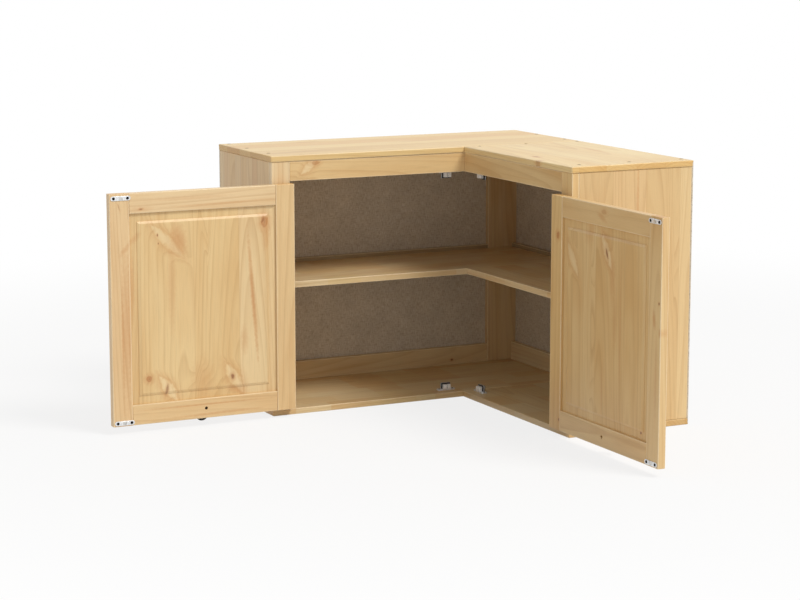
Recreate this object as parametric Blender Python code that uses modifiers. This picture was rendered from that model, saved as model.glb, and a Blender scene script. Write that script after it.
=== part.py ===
# Corner wall cupboard in pine: two wings at a right angle and two framed doors.
# Metres, +Z up. The origin is under the bottom, where the wings' centre lines
# cross. The left wing backs onto the wall at +Y and runs towards -X, the right
# wing backs onto the wall at +X and runs towards -Y. The doors stand open.
#
# Both wings are drawn in the same three directions: along the wing from the
# walls' corner, out from the wing's own wall, and up.

import math

import bmesh
import bpy
from mathutils import Matrix, Vector

# Whole cupboard
HEIGHT = 0.600
WING_LENGTH = 0.808
WING_DEPTH = 0.314
BOARD_THICKNESS = 0.014
BOARD_OVERHANG = 0.002
BOARD_EDGE_RADIUS = 0.002
WOOD_EDGE_EASE = 0.0008

# Gaps and cuts
FIT_GAP = 0.0003
CUT_OVERRUN = 0.002
MERGE_DISTANCE = 0.00001
SHARP_ANGLE_DEG = 35

# Backs
HARDBOARD_THICKNESS = 0.003
BACK_LIP_THICKNESS = 0.0035
BACK_RAIL_HEIGHT = 0.046
BACK_RAIL_THICKNESS = 0.014
POST_WIDTH = 0.082

# Face frame
FRAME_WIDTH = 0.045
FRAME_THICKNESS = 0.017

# Shelf
SHELF_UNDERSIDE = 0.292
SHELF_SETBACK = 0.020
SHELF_THICKNESS = 0.014
MIDDLE_RAIL_RISE = 0.0095

# Seam cleat and catch blocks
SEAM_CLEAT_WIDTH = 0.046
SEAM_CLEAT_HEIGHT = 0.013
SEAM_CLEAT_SHIFT = 0.007
CATCH_BLOCK_WIDTH = 0.050
CATCH_BLOCK_HEIGHT = 0.030
CATCH_BLOCK_DEPTH = 0.026

# Doors
DOOR_THICKNESS = 0.018
DOOR_GAP_BELOW = 0.0045
DOOR_GAP_ABOVE = 0.0035
DOOR_HINGE_GAP = 0.0012
DOOR_CORNER_GAP = 0.0068
DOOR_FRAME_WIDTH = 0.0455
GROOVE_DEPTH = 0.0095
TONGUE_THICKNESS = 0.006
TONGUE_REACH = 0.008
FIELD_THICKNESS = 0.014
FIELD_MARGIN = 0.022
FIELD_STEP_HEIGHT = 0.001
FIELD_STEP_RUN = 0.0006

# Butt hinges
HINGE_FORWARD = 0.0035
HINGE_HEIGHT = 0.050
HINGE_FROM_DOOR_END = 0.075
LEAF_WIDTH = 0.015
LEAF_THICKNESS = 0.0012
LEAF_TAB_INSET = 0.0005
KNUCKLE_RADIUS = 0.003
KNUCKLE_COUNT = 5
KNUCKLE_SIDES = 12
PIN_RADIUS = 0.0012
HINGE_SCREW_SPACING = 0.030

# Countersunk holes for the hinges', catches' and strike plates' screws
HOLE_RADIUS = 0.0015
COUNTERSINK_RADIUS = 0.0024
COUNTERSINK_DEPTH = 0.0007
HOLE_SIDES = 12

# Magnetic catches and their strike plates
CATCH_FROM_DOOR_EDGE = 0.026
CATCH_LENGTH = 0.046
CATCH_BODY_LENGTH = 0.024
CATCH_BODY_HEIGHT = 0.0165
CATCH_EAR_THICKNESS = 0.003
CATCH_DEPTH = 0.014
CATCH_AIR_GAP = 0.0004
POLE_LENGTH = 0.008
POLE_HEIGHT = 0.011
POLE_SPACING = 0.010
POLE_FORWARD = 0.001
POLE_ROOT = 0.004
CATCH_SCREW_SPACING = 0.034
STRIKE_LENGTH = 0.0465
STRIKE_HEIGHT = 0.012
STRIKE_THICKNESS = 0.001
STRIKE_PAD_LENGTH = 0.020
STRIKE_PAD_RISE = 0.0006
STRIKE_PAD_SLOPE = 0.0012
STRIKE_SCREW_SPACING = 0.0323
STRIKE_FROM_DOOR_TOP = 0.010
STRIKE_FROM_DOOR_BOTTOM = 0.0075

# Ring pulls
ROSETTE_RADIUS = 0.014
ROSETTE_RIM_THICKNESS = 0.0018
ROSETTE_CENTRE_THICKNESS = 0.005
ROSETTE_SIDES = 24
EYE_THICKNESS = 0.0035
EYE_WALL = 0.0018
EYE_CLEARANCE = 0.0005
EYE_BELOW_SCREW = 0.0065
EYE_STEP_DEG = 30
PULL_PROJECTION = 0.011
RING_RADIUS = 0.0118
RING_WIRE_RADIUS = 0.0022
RING_SIDES = 32
RING_WIRE_SIDES = 10
PULL_SCREW_HEAD_RADIUS = 0.0032
PULL_SCREW_HEAD_HEIGHT = 0.002
PULL_SCREW_SHANK_RADIUS = 0.002
PULL_SCREW_SEAT_DEPTH = 0.005
PULL_SCREW_REACH = 0.0035
PULL_COUNTERBORE_RADIUS = 0.0038

# Distances worked out from the sizes above
WALL = WING_DEPTH / 2
FRONT = WING_DEPTH - BOARD_OVERHANG
END = WING_LENGTH - BOARD_OVERHANG
INSIDE_END = END - BOARD_THICKNESS
OPENING_END = END - FRAME_WIDTH
FRAME_BACK = FRONT - FRAME_THICKNESS
FLOOR = BOARD_THICKNESS
CEILING = HEIGHT - BOARD_THICKNESS
OPENING_TOP = CEILING - FRAME_WIDTH
BACK_FACE = HARDBOARD_THICKNESS + FIT_GAP
RAIL_FACE = BACK_FACE + BACK_RAIL_THICKNESS
POST_END = BACK_FACE + POST_WIDTH
SHELF_TOP = SHELF_UNDERSIDE + SHELF_THICKNESS
SHELF_FRONT = FRONT - SHELF_SETBACK
SEAM_CLEAT_MIDDLE = WING_DEPTH + SEAM_CLEAT_SHIFT

DOOR_WIDTH = OPENING_END - FRONT - DOOR_HINGE_GAP - DOOR_CORNER_GAP
DOOR_BOTTOM = FLOOR + DOOR_GAP_BELOW
DOOR_TOP = OPENING_TOP - DOOR_GAP_ABOVE
PIVOT_ALONG = OPENING_END - DOOR_HINGE_GAP / 2
PIVOT_OUT = FRONT + HINGE_FORWARD
OUTER_FACE = PIVOT_OUT + HINGE_FORWARD
INNER_FACE = OUTER_FACE + DOOR_THICKNESS
DOOR_NEAR = PIVOT_ALONG + DOOR_HINGE_GAP / 2
DOOR_FAR = DOOR_NEAR + DOOR_WIDTH
SIGHT_NEAR = DOOR_NEAR + DOOR_FRAME_WIDTH
SIGHT_FAR = DOOR_FAR - DOOR_FRAME_WIDTH
SIGHT_BOTTOM = DOOR_BOTTOM + DOOR_FRAME_WIDTH
SIGHT_TOP = DOOR_TOP - DOOR_FRAME_WIDTH
DOOR_MIDDLE = (OUTER_FACE + INNER_FACE) / 2
HINGE_HEIGHTS = {
    "lower": DOOR_BOTTOM + HINGE_FROM_DOOR_END,
    "upper": DOOR_TOP - HINGE_FROM_DOOR_END,
}

STRIKE_ALONG = DOOR_FAR - CATCH_FROM_DOOR_EDGE
STRIKE_HEIGHTS = {
    "lower": DOOR_BOTTOM + STRIKE_FROM_DOOR_BOTTOM,
    "upper": DOOR_TOP - STRIKE_FROM_DOOR_TOP,
}
STRIKE_FACE = INNER_FACE + FIT_GAP + STRIKE_THICKNESS + STRIKE_PAD_RISE
CATCH_ALONG = FRONT + DOOR_CORNER_GAP + CATCH_FROM_DOOR_EDGE
POLE_FACE = FRONT - (STRIKE_FACE - OUTER_FACE) - CATCH_AIR_GAP
CATCH_FACE = POLE_FACE - POLE_FORWARD

PULL_ALONG = (DOOR_NEAR + DOOR_FAR) / 2
PULL_UP = DOOR_BOTTOM + DOOR_FRAME_WIDTH / 2
RING_PIVOT = Vector((PULL_ALONG, OUTER_FACE - PULL_PROJECTION, PULL_UP - EYE_BELOW_SCREW))

# The wings' three directions, seen from above
WING_AXES = {
    "left": Matrix(((-1, 0, 0), (0, -1, 0), (0, 0, 1))),
    "right": Matrix(((0, -1, 0), (-1, 0, 0), (0, 0, 1))),
}

PINE = ("pine", (0.72, 0.50, 0.24), 0.45, 0.0)
PANEL_PINE = ("panel pine", (0.70, 0.47, 0.22), 0.45, 0.0)
HARDBOARD = ("hardboard", (0.16, 0.10, 0.06), 0.75, 0.0)
ZINC = ("zinc plated steel", (0.62, 0.62, 0.60), 0.35, 1.0)
STEEL = ("bright steel", (0.70, 0.70, 0.70), 0.25, 1.0)
BLACK_IRON = ("black iron", (0.02, 0.02, 0.02), 0.50, 0.4)
SCREW_STEEL = ("dark screw steel", (0.10, 0.09, 0.08), 0.45, 0.8)


def clear_scene():
    for old in list(bpy.data.objects):
        bpy.data.objects.remove(old, do_unlink=True)


def new_collection(name):
    collection = bpy.data.collections.new(name)
    bpy.context.scene.collection.children.link(collection)
    return collection


def material(look):
    name, colour, roughness, metallic = look
    found = bpy.data.materials.get(name)
    if found:
        return found
    made = bpy.data.materials.new(name)
    made.use_nodes = True
    shader = made.node_tree.nodes["Principled BSDF"]
    shader.inputs["Base Color"].default_value = (*colour, 1.0)
    shader.inputs["Roughness"].default_value = roughness
    shader.inputs["Metallic"].default_value = metallic
    return made


def wing_place(wing, point):
    return Vector((WALL, WALL, 0)) + WING_AXES[wing] @ Vector(point)


# Shapes are gathered in a bmesh, in the wing's directions.
def add_box(shape, low, high):
    low = Vector(low)
    high = Vector(high)
    place = Matrix.Translation((low + high) / 2) @ Matrix.Diagonal((*(high - low), 1))
    bmesh.ops.create_cube(shape, size=1, matrix=place)


def add_cylinder(shape, radius, start, finish, sides):
    start = Vector(start)
    finish = Vector(finish)
    turn = (finish - start).to_track_quat("Z", "Y").to_matrix().to_4x4()
    place = Matrix.Translation((start + finish) / 2) @ turn
    length = (finish - start).length
    bmesh.ops.create_cone(
        shape, cap_ends=True, segments=sides, radius1=radius, radius2=radius, depth=length, matrix=place
    )


def add_torus(shape, radius, wire_radius, sides, wire_sides, place):
    bpy.ops.mesh.primitive_torus_add(
        major_radius=radius, minor_radius=wire_radius, major_segments=sides, minor_segments=wire_sides
    )
    drawn = bpy.context.active_object
    torus = bmesh.new()
    torus.from_mesh(drawn.data)
    bpy.data.objects.remove(drawn)
    add_shape(shape, torus, place)


def add_shape(shape, other, place):
    other.transform(place)
    holder = bpy.data.meshes.new("holder")
    other.to_mesh(holder)
    other.free()
    shape.from_mesh(holder)
    bpy.data.meshes.remove(holder)


# A profile of (radius, height) points is turned about its own upright axis.
def add_turned(shape, profile, tip, direction, sides):
    turned = bmesh.new()
    points = [turned.verts.new((radius, 0, height)) for radius, height in profile]
    edges = [turned.edges.new(pair) for pair in zip(points, points[1:])]
    bmesh.ops.spin(
        turned,
        geom=points + edges,
        cent=(0, 0, 0),
        axis=(0, 0, 1),
        angle=math.tau,
        steps=sides,
        use_merge=True,
    )
    bmesh.ops.remove_doubles(turned, verts=turned.verts, dist=MERGE_DISTANCE)
    bmesh.ops.recalc_face_normals(turned, faces=turned.faces)
    turn = Vector(direction).to_track_quat("Z", "Y").to_matrix().to_4x4()
    add_shape(shape, turned, Matrix.Translation(tip) @ turn)


# A flat outline of (x, y) points gets a thickness, half to each side: the curve
# makes the walls, and one face closes each end.
def add_outline(shape, points, thickness, place):
    flat = bpy.data.curves.new("outline", "CURVE")
    flat.dimensions = "2D"
    flat.fill_mode = "NONE"
    flat.extrude = thickness / 2
    spline = flat.splines.new("POLY")
    spline.points.add(len(points) - 1)
    for point, (x, y) in zip(spline.points, points):
        point.co = (x, y, 0, 1)
    spline.use_cyclic_u = True
    drawn = bpy.data.objects.new("outline", flat)
    bpy.context.scene.collection.objects.link(drawn)
    evaluated = drawn.evaluated_get(bpy.context.evaluated_depsgraph_get())
    mesh = bpy.data.meshes.new_from_object(evaluated)
    solid = bmesh.new()
    solid.from_mesh(mesh)
    bmesh.ops.remove_doubles(solid, verts=solid.verts, dist=MERGE_DISTANCE)
    bmesh.ops.holes_fill(solid, edges=solid.edges)
    bmesh.ops.recalc_face_normals(solid, faces=solid.faces)
    bpy.data.objects.remove(drawn)
    bpy.data.curves.remove(flat)
    bpy.data.meshes.remove(mesh)
    add_shape(shape, solid, place)


# Outline drawn in (out, up), its thickness along the wing
def facing_along(centre):
    turn = Matrix(((0, 0, 1), (1, 0, 0), (0, 1, 0))).to_4x4()
    return Matrix.Translation(centre) @ turn


# Outline drawn in (along, up), its thickness out from the wall
def facing_out(centre):
    turn = Matrix(((1, 0, 0), (0, 0, -1), (0, 1, 0))).to_4x4()
    return Matrix.Translation(centre) @ turn


def smooth(mesh):
    mesh.shade_smooth()
    mesh.set_sharp_from_angle(angle=math.radians(SHARP_ANGLE_DEG))


def place_object(name, wing, shape, origin, collection, parent=None):
    axes = WING_AXES[wing]
    shape.transform(Matrix.Translation(-Vector(origin)))
    shape.transform(axes.to_4x4())
    if axes.determinant() < 0:
        bmesh.ops.reverse_faces(shape, faces=shape.faces)
    mesh = bpy.data.meshes.new(name)
    shape.to_mesh(mesh)
    shape.free()
    made = bpy.data.objects.new(name, mesh)
    collection.objects.link(made)
    made.location = wing_place(wing, origin)
    if parent:
        made.parent = parent
        made.location -= parent.location
    return made


def add_part(name, wing, shape, look, origin, parent=None, round_piece=False):
    made = place_object(name, wing, shape, origin, parts, parent)
    made.data.materials.append(material(look))
    if round_piece:
        smooth(made.data)
    return made


def add_helper(name, wing, shape, parent=None):
    made = place_object(name, wing, shape, (0, 0, 0), cutters, parent)
    made.hide_render = True
    made.display_type = "WIRE"
    return made


def boolean(target, helper, operation):
    change = target.modifiers.new(helper.name, "BOOLEAN")
    change.operation = operation
    change.solver = "EXACT"
    change.object = helper


def ease(target, width, segments=1):
    bevel = target.modifiers.new("eased edges", "BEVEL")
    bevel.width = width
    bevel.segments = segments
    bevel.limit_method = "ANGLE"


def add_wood(name, wing, low, high, look=PINE, parent=None, width=WOOD_EDGE_EASE, segments=1):
    shape = bmesh.new()
    add_box(shape, low, high)
    origin = (Vector(low) + Vector(high)) / 2
    made = add_part(name, wing, shape, look, origin, parent)
    ease(made, width, segments)
    return made


# Countersunk holes run through a metal piece, against the direction of the head.
def hole_cutter(name, wing, places, thickness, parent=None):
    profile = (
        (0, CUT_OVERRUN),
        (COUNTERSINK_RADIUS, CUT_OVERRUN),
        (COUNTERSINK_RADIUS, 0),
        (HOLE_RADIUS, -COUNTERSINK_DEPTH),
        (HOLE_RADIUS, -thickness - CUT_OVERRUN),
        (0, -thickness - CUT_OVERRUN),
    )
    shape = bmesh.new()
    for tip, direction in places:
        add_turned(shape, profile, tip, direction, HOLE_SIDES)
    return add_helper(name, wing, shape, parent)


# Top and bottom: a board for the left wing and the corner, and one that butts on it.
def make_horizontals():
    for level, low_up, inner_up in (("top", CEILING, CEILING), ("bottom", 0, FLOOR)):
        high_up = low_up + BOARD_THICKNESS
        rebate_low = CEILING - CUT_OVERRUN if level == "top" else BACK_LIP_THICKNESS
        rebate_high = HEIGHT - BACK_LIP_THICKNESS if level == "top" else FLOOR + CUT_OVERRUN
        for wing, start in (("left", 0), ("right", WING_DEPTH + FIT_GAP)):
            board = add_wood(
                f"{level}_board_{wing}",
                wing,
                (start, 0, low_up),
                (WING_LENGTH, WING_DEPTH, high_up),
                width=BOARD_EDGE_RADIUS,
                segments=2,
            )
            rebate = bmesh.new()
            add_box(
                rebate,
                (-CUT_OVERRUN, -CUT_OVERRUN, rebate_low),
                (WING_LENGTH + CUT_OVERRUN, BACK_FACE, rebate_high),
            )
            boolean(board, add_helper(f"{level}_{wing}_rebate", wing, rebate), "DIFFERENCE")
            if wing == "left":
                corner_board = board
        corner = bmesh.new()
        add_box(
            corner,
            (-CUT_OVERRUN, -CUT_OVERRUN, rebate_low),
            (BACK_FACE, WING_DEPTH + CUT_OVERRUN, rebate_high),
        )
        boolean(corner_board, add_helper(f"{level}_corner_rebate", "left", corner), "DIFFERENCE")


def make_ends_and_frame():
    stiles = {}
    for wing, rail_start in (("left", FRAME_BACK), ("right", FRONT + FIT_GAP)):
        low_up = FLOOR + FIT_GAP
        high_up = CEILING - FIT_GAP
        add_wood(
            f"{wing}_end_panel",
            wing,
            (INSIDE_END, BACK_FACE, low_up),
            (END, FRAME_BACK - FIT_GAP, high_up),
        )
        stiles[wing] = add_wood(
            f"{wing}_stile",
            wing,
            (OPENING_END, FRAME_BACK, low_up),
            (END, FRONT, high_up),
        )
        add_wood(
            f"{wing}_top_rail",
            wing,
            (rail_start, FRAME_BACK, OPENING_TOP),
            (OPENING_END - FIT_GAP, FRONT, high_up),
        )
    return stiles


def make_backs():
    low_up = BACK_LIP_THICKNESS + FIT_GAP
    high_up = HEIGHT - BACK_LIP_THICKNESS - FIT_GAP
    for wing, start in (("left", 0), ("right", BACK_FACE)):
        shape = bmesh.new()
        add_box(shape, (start, 0, low_up), (END, HARDBOARD_THICKNESS, high_up))
        middle = ((start + END) / 2, HARDBOARD_THICKNESS / 2, HEIGHT / 2)
        add_part(f"{wing}_back_panel", wing, shape, HARDBOARD, middle)
    add_wood(
        "corner_post",
        "left",
        (BACK_FACE, BACK_FACE, FLOOR + FIT_GAP),
        (POST_END, RAIL_FACE, CEILING - FIT_GAP),
    )
    middle_top = SHELF_TOP + MIDDLE_RAIL_RISE
    levels = (
        ("bottom", FLOOR + FIT_GAP, FLOOR + BACK_RAIL_HEIGHT),
        ("middle", middle_top - BACK_RAIL_HEIGHT, middle_top),
        ("top", CEILING - BACK_RAIL_HEIGHT, CEILING - FIT_GAP),
    )
    for wing, start in (("left", POST_END + FIT_GAP), ("right", RAIL_FACE + FIT_GAP)):
        for level, rail_low, rail_high in levels:
            add_wood(
                f"{wing}_{level}_back_rail",
                wing,
                (start, BACK_FACE, rail_low),
                (INSIDE_END - FIT_GAP, RAIL_FACE, rail_high),
            )


def make_shelf():
    for wing, start in (("left", RAIL_FACE + FIT_GAP), ("right", SHELF_FRONT + FIT_GAP)):
        add_wood(
            f"shelf_{wing}",
            wing,
            (start, RAIL_FACE + FIT_GAP, SHELF_UNDERSIDE),
            (INSIDE_END - FIT_GAP, SHELF_FRONT, SHELF_TOP),
        )


def make_cleat_and_blocks():
    for wing in WING_AXES:
        add_wood(
            f"{wing}_catch_block",
            wing,
            (CATCH_ALONG - CATCH_BLOCK_WIDTH / 2, FRAME_BACK - CATCH_BLOCK_DEPTH, OPENING_TOP),
            (CATCH_ALONG + CATCH_BLOCK_WIDTH / 2, FRAME_BACK - FIT_GAP, OPENING_TOP + CATCH_BLOCK_HEIGHT),
        )
    add_wood(
        "top_seam_cleat",
        "right",
        (SEAM_CLEAT_MIDDLE - SEAM_CLEAT_WIDTH / 2, RAIL_FACE + FIT_GAP, CEILING - SEAM_CLEAT_HEIGHT),
        (SEAM_CLEAT_MIDDLE + SEAM_CLEAT_WIDTH / 2, FRAME_BACK - FIT_GAP, CEILING - FIT_GAP),
    )


# Hinge leaves: the frame's lies behind the pivot, the door's in front of it.
def knuckle_spans(middle, owner):
    span = (HINGE_HEIGHT - (KNUCKLE_COUNT - 1) * FIT_GAP) / KNUCKLE_COUNT
    bottom = middle - HINGE_HEIGHT / 2
    first = 0 if owner == "frame" else 1
    lows = [bottom + index * (span + FIT_GAP) for index in range(first, KNUCKLE_COUNT, 2)]
    return [(low, low + span) for low in lows]


def leaf_outline(owner, middle):
    side = -1 if owner == "frame" else 1
    near = side * (KNUCKLE_RADIUS + FIT_GAP)
    far = near + side * LEAF_WIDTH
    points = [(near, middle - HINGE_HEIGHT / 2)]
    for low, high in knuckle_spans(middle, owner):
        points += [
            (near, low + LEAF_TAB_INSET),
            (0, low + LEAF_TAB_INSET),
            (0, high - LEAF_TAB_INSET),
            (near, high - LEAF_TAB_INSET),
        ]
    points += [(near, middle + HINGE_HEIGHT / 2), (far, middle + HINGE_HEIGHT / 2)]
    points += [(far, middle - HINGE_HEIGHT / 2)]
    return points


def leaf_hole_places(owner, middle):
    side = -1 if owner == "frame" else 1
    out = PIVOT_OUT + side * (KNUCKLE_RADIUS + FIT_GAP + LEAF_WIDTH / 2)
    offsets = (-HINGE_SCREW_SPACING / 2, HINGE_SCREW_SPACING / 2)
    return [((DOOR_NEAR, out, middle + offset), (-1, 0, 0)) for offset in offsets]


def make_leaf(wing, owner, level, carrier, parent=None):
    name = f"{wing}_{level}_hinge_{owner}_leaf"
    middle = HINGE_HEIGHTS[level]
    low_up = middle - HINGE_HEIGHT / 2
    high_up = middle + HINGE_HEIGHT / 2
    plate = bmesh.new()
    centre = (DOOR_NEAR + LEAF_THICKNESS / 2, PIVOT_OUT, 0)
    add_outline(plate, leaf_outline(owner, middle), LEAF_THICKNESS, facing_along(centre))
    leaf = add_part(name, wing, plate, STEEL, (PIVOT_ALONG, PIVOT_OUT, middle), parent, round_piece=True)
    barrels = bmesh.new()
    for low, high in knuckle_spans(middle, owner):
        start = (PIVOT_ALONG, PIVOT_OUT, low)
        add_cylinder(barrels, KNUCKLE_RADIUS, start, (PIVOT_ALONG, PIVOT_OUT, high), KNUCKLE_SIDES)
    boolean(leaf, add_helper(f"{name}_barrels", wing, barrels, parent), "UNION")
    bore = bmesh.new()
    start = (PIVOT_ALONG, PIVOT_OUT, low_up - CUT_OVERRUN)
    finish = (PIVOT_ALONG, PIVOT_OUT, high_up + CUT_OVERRUN)
    add_cylinder(bore, PIN_RADIUS + FIT_GAP, start, finish, KNUCKLE_SIDES)
    boolean(leaf, add_helper(f"{name}_bore", wing, bore, parent), "DIFFERENCE")
    places = leaf_hole_places(owner, middle)
    holes = hole_cutter(f"{name}_holes", wing, places, LEAF_THICKNESS, parent)
    boolean(leaf, holes, "DIFFERENCE")
    side = -1 if owner == "frame" else 1
    far = PIVOT_OUT + side * (KNUCKLE_RADIUS + LEAF_WIDTH + FIT_GAP + FIT_GAP)
    mouth = FRONT + CUT_OVERRUN if owner == "frame" else OUTER_FACE - CUT_OVERRUN
    recess = bmesh.new()
    add_box(
        recess,
        (DOOR_NEAR - CUT_OVERRUN, min(far, mouth), low_up - FIT_GAP),
        (DOOR_NEAR + LEAF_THICKNESS + FIT_GAP, max(far, mouth), high_up + FIT_GAP),
    )
    boolean(carrier, add_helper(f"{name}_recess", wing, recess, parent), "DIFFERENCE")


def make_pin(wing, level):
    middle = HINGE_HEIGHTS[level]
    shape = bmesh.new()
    start = (PIVOT_ALONG, PIVOT_OUT, middle - HINGE_HEIGHT / 2)
    finish = (PIVOT_ALONG, PIVOT_OUT, middle + HINGE_HEIGHT / 2)
    add_cylinder(shape, PIN_RADIUS, start, finish, KNUCKLE_SIDES)
    origin = (PIVOT_ALONG, PIVOT_OUT, middle)
    add_part(f"{wing}_{level}_hinge_pin", wing, shape, STEEL, origin, round_piece=True)


# Catches: an upper one hangs from its block, a lower one stands on the bottom.
def make_catch(wing, level, foot, side):
    name = f"{wing}_{level}_catch"
    ear = CATCH_LENGTH / 2
    body = CATCH_BODY_LENGTH / 2
    ear_up = side * CATCH_EAR_THICKNESS
    body_up = side * CATCH_BODY_HEIGHT
    outline = [(-ear, 0), (ear, 0), (ear, ear_up), (body, ear_up)]
    outline += [(body, body_up), (-body, body_up), (-body, ear_up), (-ear, ear_up)]
    middle = Vector((CATCH_ALONG, CATCH_FACE - CATCH_DEPTH / 2, foot))
    shape = bmesh.new()
    add_outline(shape, outline, CATCH_DEPTH, facing_out(middle))
    housing = add_part(name, wing, shape, ZINC, middle)
    poles = bmesh.new()
    pole_middle = foot + side * CATCH_BODY_HEIGHT / 2
    for offset in (-POLE_SPACING / 2, POLE_SPACING / 2):
        along = CATCH_ALONG + offset
        low = (along - POLE_LENGTH / 2, CATCH_FACE - POLE_ROOT, pole_middle - POLE_HEIGHT / 2)
        high = (along + POLE_LENGTH / 2, POLE_FACE, pole_middle + POLE_HEIGHT / 2)
        add_box(poles, low, high)
    boolean(housing, add_helper(f"{name}_poles", wing, poles), "UNION")
    offsets = (-CATCH_SCREW_SPACING / 2, CATCH_SCREW_SPACING / 2)
    places = [(middle + Vector((offset, 0, ear_up)), (0, 0, side)) for offset in offsets]
    holes = hole_cutter(f"{name}_holes", wing, places, CATCH_EAR_THICKNESS)
    boolean(housing, holes, "DIFFERENCE")


# Doors: grooved stiles, rails with stub tenons, and a panel raised on both faces
def tongue_groove(name, wing, low, high, parent):
    shape = bmesh.new()
    half = TONGUE_THICKNESS / 2 + FIT_GAP
    add_box(shape, (low[0], DOOR_MIDDLE - half, low[1]), (high[0], DOOR_MIDDLE + half, high[1]))
    return add_helper(name, wing, shape, parent)


def make_door_stiles(wing, pivot):
    stiles = {}
    for role, low_along, groove_low, groove_high in (
        ("hinge", DOOR_NEAR, SIGHT_NEAR - GROOVE_DEPTH, SIGHT_NEAR + CUT_OVERRUN),
        ("free", SIGHT_FAR, SIGHT_FAR - CUT_OVERRUN, SIGHT_FAR + GROOVE_DEPTH),
    ):
        stile = add_wood(
            f"{wing}_door_{role}_stile",
            wing,
            (low_along, OUTER_FACE, DOOR_BOTTOM),
            (low_along + DOOR_FRAME_WIDTH, INNER_FACE, DOOR_TOP),
            parent=pivot,
        )
        groove = tongue_groove(
            f"{wing}_{role}_stile_groove",
            wing,
            (groove_low, DOOR_BOTTOM - CUT_OVERRUN),
            (groove_high, DOOR_TOP + CUT_OVERRUN),
            pivot,
        )
        boolean(stile, groove, "DIFFERENCE")
        stiles[role] = stile
    return stiles


def make_door_rails(wing, pivot):
    rails = {}
    half_body = (SIGHT_FAR - SIGHT_NEAR) / 2 - FIT_GAP
    half_tenon = half_body + GROOVE_DEPTH
    half_tongue = TONGUE_THICKNESS / 2
    half_door = DOOR_THICKNESS / 2
    quarter = [(half_tenon, half_tongue), (half_body, half_tongue), (half_body, half_door)]
    for role, low_up, groove_low, groove_high in (
        ("bottom", DOOR_BOTTOM, SIGHT_BOTTOM - GROOVE_DEPTH, SIGHT_BOTTOM + CUT_OVERRUN),
        ("top", SIGHT_TOP, SIGHT_TOP - CUT_OVERRUN, SIGHT_TOP + GROOVE_DEPTH),
    ):
        centre = Vector((PULL_ALONG, DOOR_MIDDLE, low_up + DOOR_FRAME_WIDTH / 2))
        shape = bmesh.new()
        add_outline(shape, rail_loop(quarter), DOOR_FRAME_WIDTH, Matrix.Translation(centre))
        rail = add_part(f"{wing}_door_{role}_rail", wing, shape, PINE, centre, pivot)
        groove = tongue_groove(
            f"{wing}_{role}_rail_groove",
            wing,
            (DOOR_NEAR, groove_low),
            (DOOR_FAR, groove_high),
            pivot,
        )
        boolean(rail, groove, "DIFFERENCE")
        rails[role] = rail
    return rails


# One quarter of an outline, mirrored about both its middle lines
def rail_loop(quarter):
    upper = quarter + [(-x, y) for x, y in reversed(quarter)]
    return upper + [(-x, -y) for x, y in upper]


def make_door_panel(wing, pivot):
    low = Vector((SIGHT_NEAR - TONGUE_REACH, DOOR_MIDDLE - TONGUE_THICKNESS / 2, SIGHT_BOTTOM - TONGUE_REACH))
    high = Vector((SIGHT_FAR + TONGUE_REACH, DOOR_MIDDLE + TONGUE_THICKNESS / 2, SIGHT_TOP + TONGUE_REACH))
    shape = bmesh.new()
    add_box(shape, low, high)
    shape.normal_update()
    faces = [face for face in shape.faces if abs(face.normal.y) > abs(face.normal.x) + abs(face.normal.z)]
    rise = (FIELD_THICKNESS - TONGUE_THICKNESS) / 2
    rings = (
        (TONGUE_REACH, 0),
        (FIELD_MARGIN - FIELD_STEP_RUN, rise - FIELD_STEP_HEIGHT),
        (FIELD_STEP_RUN, FIELD_STEP_HEIGHT),
    )
    for thickness, depth in rings:
        bmesh.ops.inset_individual(
            shape, faces=faces, thickness=thickness, depth=depth, use_even_offset=True
        )
    add_part(f"{wing}_door_panel", wing, shape, PANEL_PINE, (low + high) / 2, pivot)


def make_strike(wing, level, pivot):
    name = f"{wing}_{level}_strike_plate"
    half = STRIKE_LENGTH / 2
    pad = STRIKE_PAD_LENGTH / 2
    foot = pad + STRIKE_PAD_SLOPE
    raised = STRIKE_THICKNESS + STRIKE_PAD_RISE
    outline = [(-half, 0), (half, 0), (half, STRIKE_THICKNESS), (foot, STRIKE_THICKNESS), (pad, raised)]
    outline += [(-pad, raised), (-foot, STRIKE_THICKNESS), (-half, STRIKE_THICKNESS)]
    centre = Vector((STRIKE_ALONG, INNER_FACE + FIT_GAP, STRIKE_HEIGHTS[level]))
    shape = bmesh.new()
    add_outline(shape, outline, STRIKE_HEIGHT, Matrix.Translation(centre))
    plate = add_part(name, wing, shape, ZINC, centre, pivot)
    offsets = (-STRIKE_SCREW_SPACING / 2, STRIKE_SCREW_SPACING / 2)
    places = [(centre + Vector((offset, STRIKE_THICKNESS, 0)), (0, 1, 0)) for offset in offsets]
    holes = hole_cutter(f"{name}_holes", wing, places, STRIKE_THICKNESS, pivot)
    boolean(plate, holes, "DIFFERENCE")


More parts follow.
